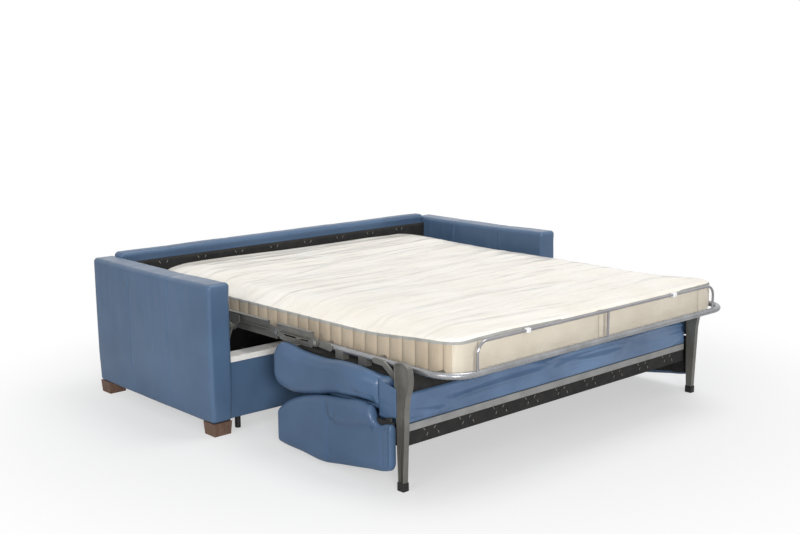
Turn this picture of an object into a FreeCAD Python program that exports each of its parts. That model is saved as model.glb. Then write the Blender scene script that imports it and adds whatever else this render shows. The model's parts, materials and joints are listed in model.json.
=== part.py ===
import FreeCAD, Part
import math
import os

# A three-seat leather sofa with a fold-out bed, drawn with the bed open.
# All lengths are millimetres. X runs across the sofa, Y from the bed's foot to the
# sofa's back, and Z is up. While the pieces are drawn, Y is zero at the front of the
# arms. At the end every piece is shifted, so that the origin lies on the floor under
# the middle of the opened bed's footprint.

V = FreeCAD.Vector
os.makedirs("parts", exist_ok=True)

# Sofa shell
SOFA_WIDTH = 2090
SOFA_DEPTH = 930
ARM_HEIGHT = 620
ARM_THICKNESS = 103
ARM_ROUNDING = 20
BACK_HEIGHT = 635
BACK_THICKNESS = 65
FOOT_HEIGHT = 54
RAIL_TOP = 309
RAIL_FRONT = 20
RAIL_REAR = 95
FELT = 3

# Mattress
MATTRESS_WIDTH = 1600
MATTRESS_LOW = 447
MATTRESS_TOP = 558
MATTRESS_FOOT_Y = -1096
MATTRESS_HEAD_Y = 800
MATTRESS_CORNER = 60
CHANNEL_PITCH = 67

# Fold mechanism: pivots as (y, z) with the bed open
BED_LEVEL = 437
FOLD_PIVOT = (-185, BED_LEVEL)
FOOT_PIVOT = (-430, BED_LEVEL)
FOLD_PIVOT_CLOSED = (130, 95)
ARM_ARC_OFFSET = 65
ARM_TOP_OFFSETS = ((275, -17), (605, -17))
BACK_PIVOT = (-849, 336)
MIDDLE_REAR_Y = 490
HEAD_FRONT_Y = 430
HEAD_REAR_Y = 782

# Frame sections
TUBE_RADIUS = 12
TUBE_X = 834
TUBE_Z = 431
TUBE_FRONT_Y = -1139
TUBE_BEND = 110
CROSS_TUBE_RADIUS = 10
GUARD_RADIUS = 5
GUARD_TOP = 540
GUARD_HALF = 715
PIVOT_RADIUS = 5
ARM_PIN_RADIUS = 6
RUNNING_GAP = 0.05

HALF_WIDTH = SOFA_WIDTH / 2
INNER_X = HALF_WIDTH - ARM_THICKNESS
SHELL_INNER_Y = SOFA_DEPTH - BACK_THICKNESS
ORIGIN_SHIFT = -(TUBE_FRONT_Y - TUBE_RADIUS + SOFA_DEPTH) / 2


def block(x0, x1, y0, y1, z0, z1):
    low = V(min(x0, x1), min(y0, y1), min(z0, z1))
    return Part.makeBox(abs(x1 - x0), abs(y1 - y0), abs(z1 - z0), low)


def mirrored(shape):
    return shape.mirror(V(0, 0, 0), V(1, 0, 0))


def both_sides(shape):
    return [shape, mirrored(shape)]


def group(*shapes):
    return Part.makeCompound(list(shapes))


def rod_x(y, z, radius, x0, x1):
    return Part.makeCylinder(radius, abs(x1 - x0), V(min(x0, x1), y, z), V(1, 0, 0))


def hexagon_x(y, z, radius, x0, x1):
    """A six-sided nut, bolt head or stand-off along X."""
    angles = [math.radians(60 * i) for i in range(6)]
    return plate([(y + radius * math.cos(a), z + radius * math.sin(a)) for a in angles], x0, x1)


def fused(first, *others):
    return first.fuse(list(others)).removeSplitter()


def outline(points, x):
    """A closed wire at one X. A point is (y, z), and a pair of points is an arc's middle and end."""
    edges = []
    here = V(x, *points[0])
    for step in points[1:]:
        if isinstance(step[0], tuple):
            middle = V(x, *step[0])
            end = V(x, *step[1])
            edges.append(Part.Arc(here, middle, end).toShape())
        else:
            end = V(x, *step)
            edges.append(Part.LineSegment(here, end).toShape())
        here = end
    if here.distanceToPoint(V(x, *points[0])) > 0.001:
        edges.append(Part.LineSegment(here, V(x, *points[0])).toShape())
    return Part.Wire(edges)


def plate(points, x0, x1):
    return Part.Face(outline(points, x0)).extrude(V(x1 - x0, 0, 0))


def bar(start, end, radius, x0, x1):
    """A flat bar with round ends between two (y, z) points."""
    run = V(0, end[0] - start[0], end[1] - start[1])
    along = run.normalize() * radius
    side = V(0, -along.z, along.y)
    a = V(x0, *start)
    b = V(x0, *end)
    edges = [
        Part.LineSegment(a + side, b + side).toShape(),
        Part.Arc(b + side, b + along, b - side).toShape(),
        Part.LineSegment(b - side, a - side).toShape(),
        Part.Arc(a - side, a - along, a + side).toShape(),
    ]
    return Part.Face(Part.Wire(edges)).extrude(V(x1 - x0, 0, 0))


def bent_rod(points, radius, bend):
    """A round rod along straight runs joined by tangent arcs, all of one bend radius."""
    pts = [V(*p) for p in points]
    edges = []
    here = pts[0]
    for before, corner, after in zip(pts, pts[1:], pts[2:]):
        into = (corner - before).normalize()
        out = (after - corner).normalize()
        turn = into.getAngle(out)
        trim = bend * math.tan(turn / 2)
        start = corner - into * trim
        end = corner + out * trim
        centre = start + (out - into * math.cos(turn)).normalize() * bend
        middle = centre + (corner - centre).normalize() * bend
        edges.append(Part.LineSegment(here, start).toShape())
        edges.append(Part.Arc(start, middle, end).toShape())
        here = end
    edges.append(Part.LineSegment(here, pts[-1]).toShape())
    path = Part.Wire(edges)
    section = Part.Wire([Part.makeCircle(radius, pts[0], pts[1] - pts[0])])
    return path.makePipeShell([section], True, False)


def grid(x_half, y0, y1, z0, thickness, columns, rows, strip):
    """A flat welded grid with square-cornered openings, as one holed face."""
    def rectangle(xa, xb, ya, yb):
        corners = [V(xa, ya, z0), V(xb, ya, z0), V(xb, yb, z0), V(xa, yb, z0)]
        return Part.makePolygon(corners + corners[:1])

    pitch_x = (2 * x_half - strip) / columns
    pitch_y = (y1 - y0 - strip) / rows
    wires = [rectangle(-x_half, x_half, y0, y1)]
    for i in range(columns):
        for j in range(rows):
            xa = -x_half + strip + i * pitch_x
            ya = y0 + strip + j * pitch_y
            wires.append(rectangle(xa, xa + pitch_x - strip, ya, ya + pitch_y - strip))
    return Part.makeFace(wires, "Part::FaceMakerBullseye").extrude(V(0, 0, thickness))


def loft_x(profile, stations):
    """A ruled loft through one profile, changed by profile(crown, inset), at (x, crown, inset) stations."""
    wires = [outline(profile(crown, inset), x) for x, crown, inset in stations]
    return Part.makeLoft(wires, True, True)


# Sofa shell: arms, back, front rail and feet

def sofa_arm():
    """An upholstered arm of three sewn side panels, with soft edges above its flat underside."""
    body = block(INNER_X, HALF_WIDTH, 0, SOFA_DEPTH, FOOT_HEIGHT, ARM_HEIGHT)
    body = body.makeFillet(ARM_ROUNDING, [e for e in body.Edges if e.CenterOfMass.z > FOOT_HEIGHT + 1])
    seam_depth = 2.5
    for seam_y in (SOFA_DEPTH / 3, SOFA_DEPTH * 2 / 3):
        corners = [(seam_y - seam_depth, 0), (seam_y, -seam_depth), (seam_y + seam_depth, 0)]
        wire = Part.makePolygon([V(HALF_WIDTH + d, y, 0) for y, d in corners + corners[:1]])
        body = body.cut(Part.Face(wire).extrude(V(0, 0, ARM_HEIGHT + 1)))
        top = Part.makePolygon([V(0, y, ARM_HEIGHT + d) for y, d in corners + corners[:1]])
        body = body.cut(Part.Face(top).extrude(V(HALF_WIDTH + 1, 0, 0)))
    return body


def back_shell():
    body = block(-INNER_X, INNER_X, SHELL_INNER_Y, SOFA_DEPTH, FOOT_HEIGHT, BACK_HEIGHT)
    top_edges = [e for e in body.Edges if abs(e.CenterOfMass.z - BACK_HEIGHT) < 1]
    long_edges = [e for e in top_edges if e.Length > SOFA_WIDTH / 2]
    return body.makeFillet(ARM_ROUNDING, long_edges)


def front_rail():
    body = block(-INNER_X, INNER_X, RAIL_FRONT, RAIL_REAR, FOOT_HEIGHT, RAIL_TOP)
    low = [e for e in body.Edges if e.CenterOfMass.y < RAIL_FRONT + 1 and e.CenterOfMass.z < 60]
    return body.makeFillet(8, low)


def front_felt():
    """A felt strip over the front rail's top, turned down at the front."""
    lip = 20
    points = [
        (RAIL_REAR, RAIL_TOP),
        (RAIL_REAR, RAIL_TOP + FELT),
        (RAIL_FRONT - FELT, RAIL_TOP + FELT),
        (RAIL_FRONT - FELT, RAIL_TOP - lip),
        (RAIL_FRONT, RAIL_TOP - lip),
        (RAIL_FRONT, RAIL_TOP),
    ]
    return plate(points, -INNER_X, INNER_X)


def tapered_block(low, high):
    """A solid with flat sides between two level rectangles, each given as (x0, x1, y0, y1, z)."""
    def corners(x0, x1, y0, y1, z):
        return [V(x0, y0, z), V(x1, y0, z), V(x1, y1, z), V(x0, y1, z)]

    a = corners(*low)
    b = corners(*high)
    loops = [a[::-1], b] + [[a[i], a[(i + 1) % 4], b[(i + 1) % 4], b[i]] for i in range(4)]
    faces = [Part.Face(Part.makePolygon(loop + loop[:1])) for loop in loops]
    return Part.makeSolid(Part.makeShell(faces))


def wood_foot(y0):
    """A tapered square foot, set in a little from the arm's outer side."""
    width, depth, taper, inset = 85, 80, 4, 8
    x1 = HALF_WIDTH - inset
    x0 = x1 - width
    y1 = y0 + depth
    floor_end = (x0 + taper, x1 - taper, y0 + taper, y1 - taper, 0)
    return tapered_block(floor_end, (x0, x1, y0, y1, FOOT_HEIGHT))


arm_right = sofa_arm()
shell_nodes = {
    "sofa_arm_right": arm_right,
    "sofa_arm_left": mirrored(arm_right),
    "back_shell": back_shell(),
    "back_lining": block(-INNER_X, INNER_X, SHELL_INNER_Y - 2, SHELL_INNER_Y, 76, 590),
    "front_rail": front_rail(),
    "front_felt": front_felt(),
}
for place, y0 in (("front", 0), ("rear", SOFA_DEPTH - 80)):
    foot = wood_foot(y0)
    shell_nodes["wood_foot_" + place + "_right"] = foot
    shell_nodes["wood_foot_" + place + "_left"] = mirrored(foot)

support_x = 888
support = Part.makeCylinder(12, FOOT_HEIGHT, V(support_x, 55, 0))
shell_nodes["support_feet"] = group(*both_sides(support))

# Fixed mechanism plates inside the arms, and the four base pivots

def arm_arc():
    """Centre, radius and sweep in degrees of the arc that the fold pivot follows, from open to closed."""
    start = V(0, *FOLD_PIVOT)
    end = V(0, *FOLD_PIVOT_CLOSED)
    chord = end - start
    across = V(0, chord.z, -chord.y).normalize()
    centre = (start + end) * 0.5 + across * ARM_ARC_OFFSET
    radius = centre.distanceToPoint(start)
    from_angle = math.degrees(math.atan2(start.z - centre.z, start.y - centre.y))
    to_angle = math.degrees(math.atan2(end.z - centre.z, end.y - centre.y))
    return (centre.y, centre.z), radius, from_angle - to_angle


ARC_CENTRE, ARM_LENGTH, ARM_SWEEP = arm_arc()
BASE_PIVOTS = [(ARC_CENTRE[0] + dy, ARC_CENTRE[1] + dz) for dy, dz in ARM_TOP_OFFSETS]
ARM_TOPS = [(FOLD_PIVOT[0] + dy, FOLD_PIVOT[1] + dz) for dy, dz in ARM_TOP_OFFSETS]
print("swing arms turn", round(ARM_SWEEP, 3), "degrees, pivot to pivot", round(ARM_LENGTH, 3))

PLATE_THICKNESS = 6
PLATE_X = INNER_X - PLATE_THICKNESS
PLATE_LOW = 58
PLATE_BAND = 96
SWING_X = (884, 892)


def side_plate():
    """A steel plate screwed to the arm's inner side, with a tower for each swing arm."""
    tower = 40
    top = BASE_PIVOTS[0][1] + 28
    points = [(RAIL_REAR + 5, PLATE_LOW), (SHELL_INNER_Y - 3, PLATE_LOW), (SHELL_INNER_Y - 3, PLATE_BAND)]
    for y, _ in reversed(BASE_PIVOTS):
        points += [
            (y + 2 * tower, PLATE_BAND),
            (y + tower, PLATE_BAND + tower),
            (y + tower, top - tower),
            ((y, top), (y - tower, top - tower)),
            (y - tower, PLATE_BAND + tower),
            (y - 2 * tower, PLATE_BAND),
        ]
    points.append((RAIL_REAR + 5, PLATE_BAND))
    body = plate(points, PLATE_X, INNER_X)
    screw_hole_radius = 7
    for y in (365, 700):
        middle_z = (PLATE_LOW + PLATE_BAND) / 2
        body = body.cut(rod_x(y, middle_z, screw_hole_radius, PLATE_X - 1, INNER_X + 1))
    return body


def base_pivot(y, z):
    """A post: a six-sided stand-off, the round journal that the swing arm turns on, and a head."""
    stand = hexagon_x(y, z, 15, SWING_X[1] + 1, PLATE_X)
    journal = rod_x(y, z, ARM_PIN_RADIUS, SWING_X[0] - 1, SWING_X[1] + 1)
    head = hexagon_x(y, z, 11, SWING_X[0] - 5, SWING_X[0] - 1)
    return fused(stand, journal, head)


def rear_cross_tube():
    width, height, wall = 30, 20, 2
    y0, z0 = SHELL_INNER_Y - 3 - width, PLATE_LOW
    outer = block(-PLATE_X, PLATE_X, y0, y0 + width, z0, z0 + height)
    bore = block(-PLATE_X, PLATE_X, y0 + wall, y0 + width - wall, z0 + wall, z0 + height - wall)
    return outer.cut(bore)


fixed_plate = side_plate()
pivots = [base_pivot(*p) for p in BASE_PIVOTS]
shell_nodes["side_plate_right"] = fixed_plate
shell_nodes["side_plate_left"] = mirrored(fixed_plate)
shell_nodes["base_pivot_posts"] = group(*[s for p in pivots for s in both_sides(p)])
shell_nodes["rear_cross_tube"] = rear_cross_tube()


def swing_arm(base, top):
    """A flat bar between a base pivot and the middle frame, with running holes."""
    body = bar(base, top, 18, *SWING_X)
    for y, z in (base, top):
        body = body.cut(rod_x(y, z, ARM_PIN_RADIUS + RUNNING_GAP, SWING_X[0] - 1, SWING_X[1] + 1))
    return body


arm_nodes = {}
for place, base, top in zip(("front", "rear"), BASE_PIVOTS, ARM_TOPS):
    arm = swing_arm(base, top)
    arm_nodes["swing_arm_" + place + "_right"] = arm
    arm_nodes["swing_arm_" + place + "_left"] = mirrored(arm)

# Middle section of the bed, carried by the swing arms

RAIL_X = (850, 868)
RAIL_Z = (443, 477)
LUG_X = (846, 850)
CROSS_Z = (427, 443)
MESH_TOP = MATTRESS_LOW
MESH_HALF = 785


def channel(y0, y1):
    """A pressed channel with its web inside and its flanges turned outward."""
    wall = 3
    x0, x1 = RAIL_X
    z0, z1 = RAIL_Z
    return block(x0, x1, y0, y1, z0, z1).cut(block(x0 + wall, x1 + 1, y0 - 1, y1 + 1, z0 + wall, z1 - wall))


def cross_tube(x_half, y0, y1, z0, z1):
    wall = 2
    outer = block(-x_half, x_half, y0, y1, z0, z1)
    return outer.cut(block(-x_half - 1, x_half + 1, y0 + wall, y1 - wall, z0 + wall, z1 - wall))


def arm_gusset(top):
    """A hanger plate from the middle rail down to a swing arm's upper pivot."""
    y, z = top
    reach = 18
    points = [
        (y - 45, RAIL_Z[1] - 6),
        (y - 45, RAIL_Z[0]),
        (y - reach, z),
        ((y, z - reach), (y + reach, z)),
        (y + 45, RAIL_Z[0]),
        (y + 45, RAIL_Z[1] - 6),
    ]
    return plate(points, RAIL_X[1], RAIL_X[1] + 5)


def arm_top_pin(y, z):
    spacer = hexagon_x(y, z, 11, RAIL_X[1] + 5, SWING_X[0] - 0.5)
    journal = rod_x(y, z, ARM_PIN_RADIUS, SWING_X[0] - 0.5, SWING_X[1] + 1)
    head = hexagon_x(y, z, 11, SWING_X[1] + 1, SWING_X[1] + 4)
    return fused(spacer, journal, head)


middle_rail = channel(FOLD_PIVOT[0] + 47, MIDDLE_REAR_Y)
fold_lug = bar(FOLD_PIVOT, (FOLD_PIVOT[0] + 75, BED_LEVEL + 10), 16, *LUG_X)
gussets = [arm_gusset(top) for top in ARM_TOPS]
rail_right = group(middle_rail, fold_lug, *gussets)
middle_nodes = {
    "middle_rail_right": rail_right,
    "middle_rail_left": mirrored(rail_right),
    "middle_cross_tubes": group(
        cross_tube(LUG_X[0], -150, -130, *CROSS_Z),
        cross_tube(RAIL_X[1], 150, 170, *CROSS_Z),
        cross_tube(RAIL_X[1], MIDDLE_REAR_Y - 20, MIDDLE_REAR_Y, *CROSS_Z),
    ),
    "middle_mesh": grid(MESH_HALF, -155, MIDDLE_REAR_Y, CROSS_Z[1], MESH_TOP - CROSS_Z[1], 10, 4, 8),
    "arm_top_pins": group(*[s for t in ARM_TOPS for s in both_sides(arm_top_pin(*t))]),
}

# Sliding head section under the middle section

HEAD_TUBE_X = (800, 820)
HEAD_TUBE_Z = (400, 420)
GUIDE_GAP = 0.5


def head_guide():
    """A channel under the middle section, open inward, in which the head tube slides."""
    wall = 3
    x1 = HEAD_TUBE_X[1] + GUIDE_GAP
    z0 = HEAD_TUBE_Z[0] - GUIDE_GAP
    z1 = HEAD_TUBE_Z[1] + GUIDE_GAP
    top = CROSS_Z[0]
    outer = block(HEAD_TUBE_X[0] + 2, x1 + wall, -150, MIDDLE_REAR_Y, z0 - wall, top)
    return outer.cut(block(HEAD_TUBE_X[0], x1, -151, MIDDLE_REAR_Y + 1, z0, z1))


def head_tube():
    wall = 2
    x0, x1 = HEAD_TUBE_X
    z0, z1 = HEAD_TUBE_Z
    outer = block(x0, x1, HEAD_FRONT_Y, HEAD_REAR_Y, z0, z1)
    bore = block(x0 + wall, x1 - wall, HEAD_FRONT_Y - 1, HEAD_REAR_Y + 1, z0 + wall, z1 - wall)
    return outer.cut(bore)


head_z = (HEAD_TUBE_Z[0] + 2, HEAD_TUBE_Z[1] - 3)
middle_nodes["head_guides"] = group(*both_sides(head_guide()))
head_nodes = {
    "head_side_tubes": group(*both_sides(head_tube())),
    "head_cross_tubes": group(
        cross_tube(HEAD_TUBE_X[0], HEAD_FRONT_Y, HEAD_FRONT_Y + 20, *head_z),
        cross_tube(HEAD_TUBE_X[0], HEAD_REAR_Y - 20, HEAD_REAR_Y, *head_z),
    ),
    "head_mesh": grid(HEAD_TUBE_X[0], HEAD_FRONT_Y, HEAD_REAR_Y, head_z[1], 3, 10, 3, 8),
    "head_pad": block(-790, 790, MIDDLE_REAR_Y + 6, HEAD_REAR_Y - 4, HEAD_TUBE_Z[1], MATTRESS_LOW - 0.5),
}

# Fold links between the middle and the foot section

LINK_WEB = (850.6, 854.6)


def fold_link():
    """A pressed link: a channel above, a flat bar below, joined by an eye at each pivot."""
    y0, z = FOOT_PIVOT
    y1 = FOLD_PIVOT[0]
    eye = 16
    web = bar(FOOT_PIVOT, FOLD_PIVOT, eye, *LINK_WEB)
    upper = block(*LINK_WEB, y0 + 12, y1 - 12, z + 6, RAIL_Z[1])
    lower = bar((y0 + 30, z - 13), (y1 - 30, z - 13), 12, *LINK_WEB)
    window = bar((y0 + 50, z - 2), (y1 - 50, z - 2), 5, LINK_WEB[0] - 1, LINK_WEB[1] + 1)
    top_flange = block(LINK_WEB[0], RAIL_X[1], y0 + 12, y1 - 12, RAIL_Z[1] - 3, RAIL_Z[1])
    low_flange = block(LINK_WEB[0], RAIL_X[1], y0 + 32, y1 - 32, z + 6, z + 9)
    body = fused(web, upper, lower, top_flange, low_flange).cut(window)
    for y in (y0, y1):
        body = body.cut(rod_x(y, z, PIVOT_RADIUS + RUNNING_GAP, LINK_WEB[0] - 1, LINK_WEB[1] + 1))
    return body


def link_pin(y, z):
    shank = rod_x(y, z, PIVOT_RADIUS, LUG_X[1], LINK_WEB[1] + 1)
    head = rod_x(y, z, 9, LINK_WEB[1] + 1, LINK_WEB[1] + 4)
    return fused(shank, head)


link = fold_link()
link_middle_y = (FOLD_PIVOT[0] + FOOT_PIVOT[0]) / 2
link_nodes = {
    "fold_link_right": link,
    "fold_link_left": mirrored(link),
    "link_cross_tube": rod_x(link_middle_y, BED_LEVEL - 11, 10, -LINK_WEB[0], LINK_WEB[0]),
}
middle_nodes["fold_pins"] = group(*both_sides(link_pin(*FOLD_PIVOT)))

# Foot section: bent tube frame, legs, guard rail

def foot_frame():
    start_y = FOOT_PIVOT[0] - 10
    points = [
        (-TUBE_X, start_y, TUBE_Z),
        (-TUBE_X, TUBE_FRONT_Y, TUBE_Z),
        (TUBE_X, TUBE_FRONT_Y, TUBE_Z),
        (TUBE_X, start_y, TUBE_Z),
    ]
    return bent_rod(points, TUBE_RADIUS, TUBE_BEND)


def guard_rail():
    """A bent rod let into the front tube, with a straight post in the middle."""
    foot_z = TUBE_Z + TUBE_RADIUS - 2
    y = TUBE_FRONT_Y
    points = [
        (-GUARD_HALF, y, foot_z),
        (-GUARD_HALF, y, GUARD_TOP),
        (GUARD_HALF, y, GUARD_TOP),
        (GUARD_HALF, y, foot_z),
    ]
    post = Part.makeCylinder(GUARD_RADIUS, GUARD_TOP - foot_z, V(0, y, foot_z))
    return fused(bent_rod(points, GUARD_RADIUS, 45), post)


LEG_X = (866, 888)
LEG_WALL = 4
LEG_Y = -940
LEG_TIP = 30
LEG_END = (-951, -924)


def leg_outline(inset):
    """The pressed leg: a wide head at the tube, drawn in to a shank that tapers to the floor."""
    i = inset
    return [
        (-906 - i, 452 - i),
        ((-943, 462 - i), (-978 + i, 445 - i)),
        ((-984 + i, 405), (-970 + i, 345)),
        (-963 + i, 300),
        (LEG_END[0] + i, LEG_TIP - 8 + i),
        (LEG_END[1] - i, LEG_TIP - 8 + i),
        (-914 - i, 300),
        (-910 - i, 360),
    ]


def bed_leg():
    """A leg pressed from plate, with its rim turned outward and an ear for the back's hinge."""
    body = plate(leg_outline(0), *LEG_X)
    body = body.cut(plate(leg_outline(LEG_WALL), LEG_X[0] + LEG_WALL, LEG_X[1] + 1))
    ear = bar((LEG_Y + 10, 348), BACK_PIVOT, 16, LEG_X[0], LEG_X[0] + LEG_WALL)
    stub = rod_x(LEG_Y, TUBE_Z, 9, TUBE_X + TUBE_RADIUS - 4, LEG_X[0] + 0.5)
    return fused(body, ear, stub)


def leg_tip():
    """A rubber cap over the leg's end."""
    wall = 3
    y0, y1 = LEG_END
    outer = block(LEG_X[0] - wall, LEG_X[1] + wall, y0 - wall, y1 + wall, 0, LEG_TIP)
    outer = outer.makeFillet(3, [e for e in outer.Edges if abs(e.CenterOfMass.z - LEG_TIP / 2) < 1])
    return outer.cut(block(LEG_X[0], LEG_X[1], y0, y1, LEG_TIP - 8, LEG_TIP + 1))


def leg_brace():
    """A flat stay from the side tube to the leg, cranked once."""
    x0, x1 = 851.5, 859.5
    start = (-770, TUBE_Z + 3)
    crank = (-818, TUBE_Z + 1)
    end = (-908, 370)
    top = bar(start, crank, 10, x0, x1)
    slope = bar(crank, end, 10, x0, x1)
    spacer = rod_x(*end, 8, x1 - 1, LEG_X[0])
    bolt = rod_x(*start, 7, TUBE_X + TUBE_RADIUS - 2, x0 + 1)
    return fused(top, slope, spacer, bolt)


def seat_bracket(y):
    """A saddle block between a side tube and the seat's base board."""
    return block(TUBE_X - 16, TUBE_X + TUBE_RADIUS, y - 22, y + 22, SEAT_BOARD[1], TUBE_Z)


SEAT_BOARD = (385, 397)
CROSS_TUBE_TOP = TUBE_Z + CROSS_TUBE_RADIUS
frame_tube = foot_frame()
foot_lug = bar(FOOT_PIVOT, (FOOT_PIVOT[0] - 80, TUBE_Z), 14, *LUG_X)
leg = bed_leg().cut(frame_tube)
tip = leg_tip().cut(leg)
brace = leg_brace().cut(frame_tube).cut(leg)
brackets = [seat_bracket(y).cut(frame_tube) for y in (-560, -690)]
foot_cross = [rod_x(y, TUBE_Z, CROSS_TUBE_RADIUS, -TUBE_X, TUBE_X).cut(frame_tube) for y in (-1050, -760, -462)]
guard = guard_rail().cut(frame_tube)
back_pin = fused(
    rod_x(*BACK_PIVOT, PIVOT_RADIUS, LEG_X[0] - 7, LEG_X[0]),
    hexagon_x(*BACK_PIVOT, 8, LEG_X[0] - 9.5, LEG_X[0] - 7),
)
foot_nodes = {
    "foot_tube": frame_tube,
    "foot_lugs": group(*both_sides(foot_lug)),
    "foot_pins": group(*both_sides(link_pin(*FOOT_PIVOT))),
    "foot_cross_tubes": group(*foot_cross),
    "foot_mesh": grid(MESH_HALF, -1066, -450, CROSS_TUBE_TOP, MESH_TOP - CROSS_TUBE_TOP, 10, 4, 8),
    "guard_rail": guard,
    "leg_right": leg,
    "leg_left": mirrored(leg),
    "leg_tips": group(*both_sides(tip)),
    "leg_brace_right": brace,
    "leg_brace_left": mirrored(brace),
    "seat_brackets": group(*[s for b in brackets for s in both_sides(b)]),
    "back_hinge_pins": group(*both_sides(back_pin)),
}

# Mattress, sewn with upright channels round its border

def channelled(start, end, depth):
    """Edges from one plan point to another: flat channels that stand out between narrow seams."""
    run = end - start
    count = max(1, round(run.Length / CHANNEL_PITCH))
    out = V(run.y, -run.x, 0).normalize() * depth
    shoulder = 0.2
    marks = [start]
    for i in range(count):
        for share, height in ((shoulder, 1), (1 - shoulder, 1), (1, 0)):
            marks.append(start + run * ((i + share) / count) + out * height)
    return [Part.LineSegment(a, b).toShape() for a, b in zip(marks, marks[1:])]


def mattress_outline(y0, y1, round_front, round_rear, inset, z):
    half = MATTRESS_WIDTH / 2 - 4 - inset
    depth = 4
    front = y0 + inset if round_front else y0
    rear = y1 - inset if round_rear else y1
    r = MATTRESS_CORNER
    edges = []

    def corner(x, y, from_x, from_y, to_x, to_y):
        centre = V(x + (r if x < 0 else -r), y + (r if y == front else -r), z)
        middle = centre + (V(x, y, z) - centre).normalize() * r
        edges.append(Part.Arc(V(from_x, from_y, z), middle, V(to_x, to_y, z)).toShape())

    front_end = front + (r if round_front else 0)
    rear_end = rear - (r if round_rear else 0)
    edges += channelled(V(-half, rear_end, z), V(-half, front_end, z), -depth)
    if round_front:
        corner(-half, front, -half, front_end, -half + r, front)
        edges += channelled(V(-half + r, front, z), V(half - r, front, z), depth)
        corner(half, front, half - r, front, half, front_end)
    else:
        edges.append(Part.LineSegment(V(-half, front, z), V(half, front, z)).toShape())
    edges += channelled(V(half, front_end, z), V(half, rear_end, z), depth)
    if round_rear:
        corner(half, rear, half, rear_end, half - r, rear)
        edges += channelled(V(half - r, rear, z), V(-half + r, rear, z), depth)
        corner(-half, rear, -half + r, rear, -half, rear_end)
    else:
        edges.append(Part.LineSegment(V(half, rear, z), V(-half, rear, z)).toShape())
    return Part.Wire(edges)


def mattress_part(y0, y1, round_front=False, round_rear=False):
    edge = 13
    levels = [
        (MATTRESS_LOW, edge),
        (MATTRESS_LOW + edge, 0),
        (MATTRESS_TOP - edge, 0),
        (MATTRESS_TOP, edge),
    ]
    wires = [mattress_outline(y0, y1, round_front, round_rear, inset, z) for z, inset in levels]
    return Part.makeLoft(wires, True, True)


foot_nodes["mattress_foot"] = mattress_part(MATTRESS_FOOT_Y, FOOT_PIVOT[0], round_front=True)
link_nodes["mattress_fold"] = mattress_part(FOOT_PIVOT[0], FOLD_PIVOT[0])
middle_nodes["mattress_middle"] = mattress_part(FOLD_PIVOT[0], MIDDLE_REAR_Y)
middle_nodes["mattress_head"] = mattress_part(MIDDLE_REAR_Y, MATTRESS_HEAD_Y, round_rear=True)

# Seat: a cushion upside down under the foot section, on a board covered in black cloth

SEAT_HALF = 915
SLOT_INNER = 849
SLOT_REAR_Y = -820
SEAT_RIM = 434
CHEEK_INNER = 894


def seat_profile(crown, inset):
    """The seat's side view: thin at the sofa's back, deep at its front edge, with a rim past the board there."""
    base = SEAT_BOARD[0]

    def at(y, z):
        middle = -570
        shrink = 1 - inset / 320
        return (middle + (y - middle) * shrink, base - (base - z) * crown)

    return [
        at(-284, 385),
        at(-874, 385),
        at(-885, 374),
        at(-885, 320),
        at(-868, 305),
        (at(-740, 303), at(-600, 291)),
        (at(-470, 263), at(-370, 247)),
        (at(-288, 262), at(-257, 320)),
        at(-256, SEAT_RIM - 6),
        at(-262, SEAT_RIM),
        at(-278, SEAT_RIM),
    ]


def mirrored_stations(stations):
    return [(-x, c, i) for x, c, i in stations] + [s for s in reversed(stations) if s[0] != 0]


def seat_cushion():
    half = [(SEAT_HALF, 0.74, 12), (SEAT_HALF - 12, 0.9, 2), (620, 1.0, 0), (0, 1.03, 0)]
    body = loft_x(seat_profile, mirrored_stations(half))
    for side in (-1, 1):
        leg_slot = block(side * SLOT_INNER, side * 1000, -1000, SLOT_REAR_Y, 200, 500)
        link_room = block(side * 840, side * 1000, -320, -200, 404, 500)
        body = body.cut(leg_slot).cut(link_room)
    return body


board_half = SLOT_INNER - 6
foot_nodes["seat_cushion"] = seat_cushion()
foot_nodes["seat_board"] = block(-board_half, board_half, -870, -290, *SEAT_BOARD)

# Back: a covered frame and cushion with a side cheek beyond each leg

FRAME_NEAR_Y = -915
FRAME_FAR_Y = -300
END_BAR_Z = (200, 226)


def cushion_top(rise):
    """The back cushion's crowned upper side, from its far end to its near end."""
    return [
        ((-370, 222 + rise), (-470, 250 + rise)),
        ((-640, 279 + rise), (-800, 287 + rise)),
    ]


def back_cushion_profile(crown, inset):
    rise = (crown - 1) * 40
    return [
        (-903 + inset, 210),
        (FRAME_FAR_Y - inset, 140),
        ((-285 - inset, 152), (-291 - inset, 172 + rise)),
        *cushion_top(rise),
        ((-858, 283 + rise), (-890 + inset, 263 + rise)),
        ((-905 + inset, 240), (-903 + inset, 210)),
    ]


def cheek_profile(crown, inset):
    rise = -inset
    return [
        (-904 + inset, 86 + inset),
        ((-760, 56 + inset), (-600, 32 + inset)),
        ((-450, 25 + inset), (-330, 40 + inset)),
        ((-286 - inset, 100), (-291 - inset, 168 + rise)),
        *cushion_top(rise),
        ((-866, 281 + rise), (-904 + inset, 250 + rise)),
        ((-917 + inset, 168), (-904 + inset, 86 + inset)),
    ]


def back_cushion():
    half = [(SLOT_INNER - 2, 0.88, 8), (SLOT_INNER - 20, 0.98, 0), (0, 1.05, 0)]
    return loft_x(back_cushion_profile, mirrored_stations(half))


def slot_strips():
    """Padded strips beyond the middle cushion: the near one lies over the leg when the bed is closed."""
    near = [(-824, 276), (-506, 267), (-500, 274), (-640, 284), (-824, 289)]
    far = [(-506, 267), (-310, 158), (-298, 174), (-500, 274)]
    return [plate(points, SLOT_INNER - 2, CHEEK_INNER - 0.5) for points in (near, far)]


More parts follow.
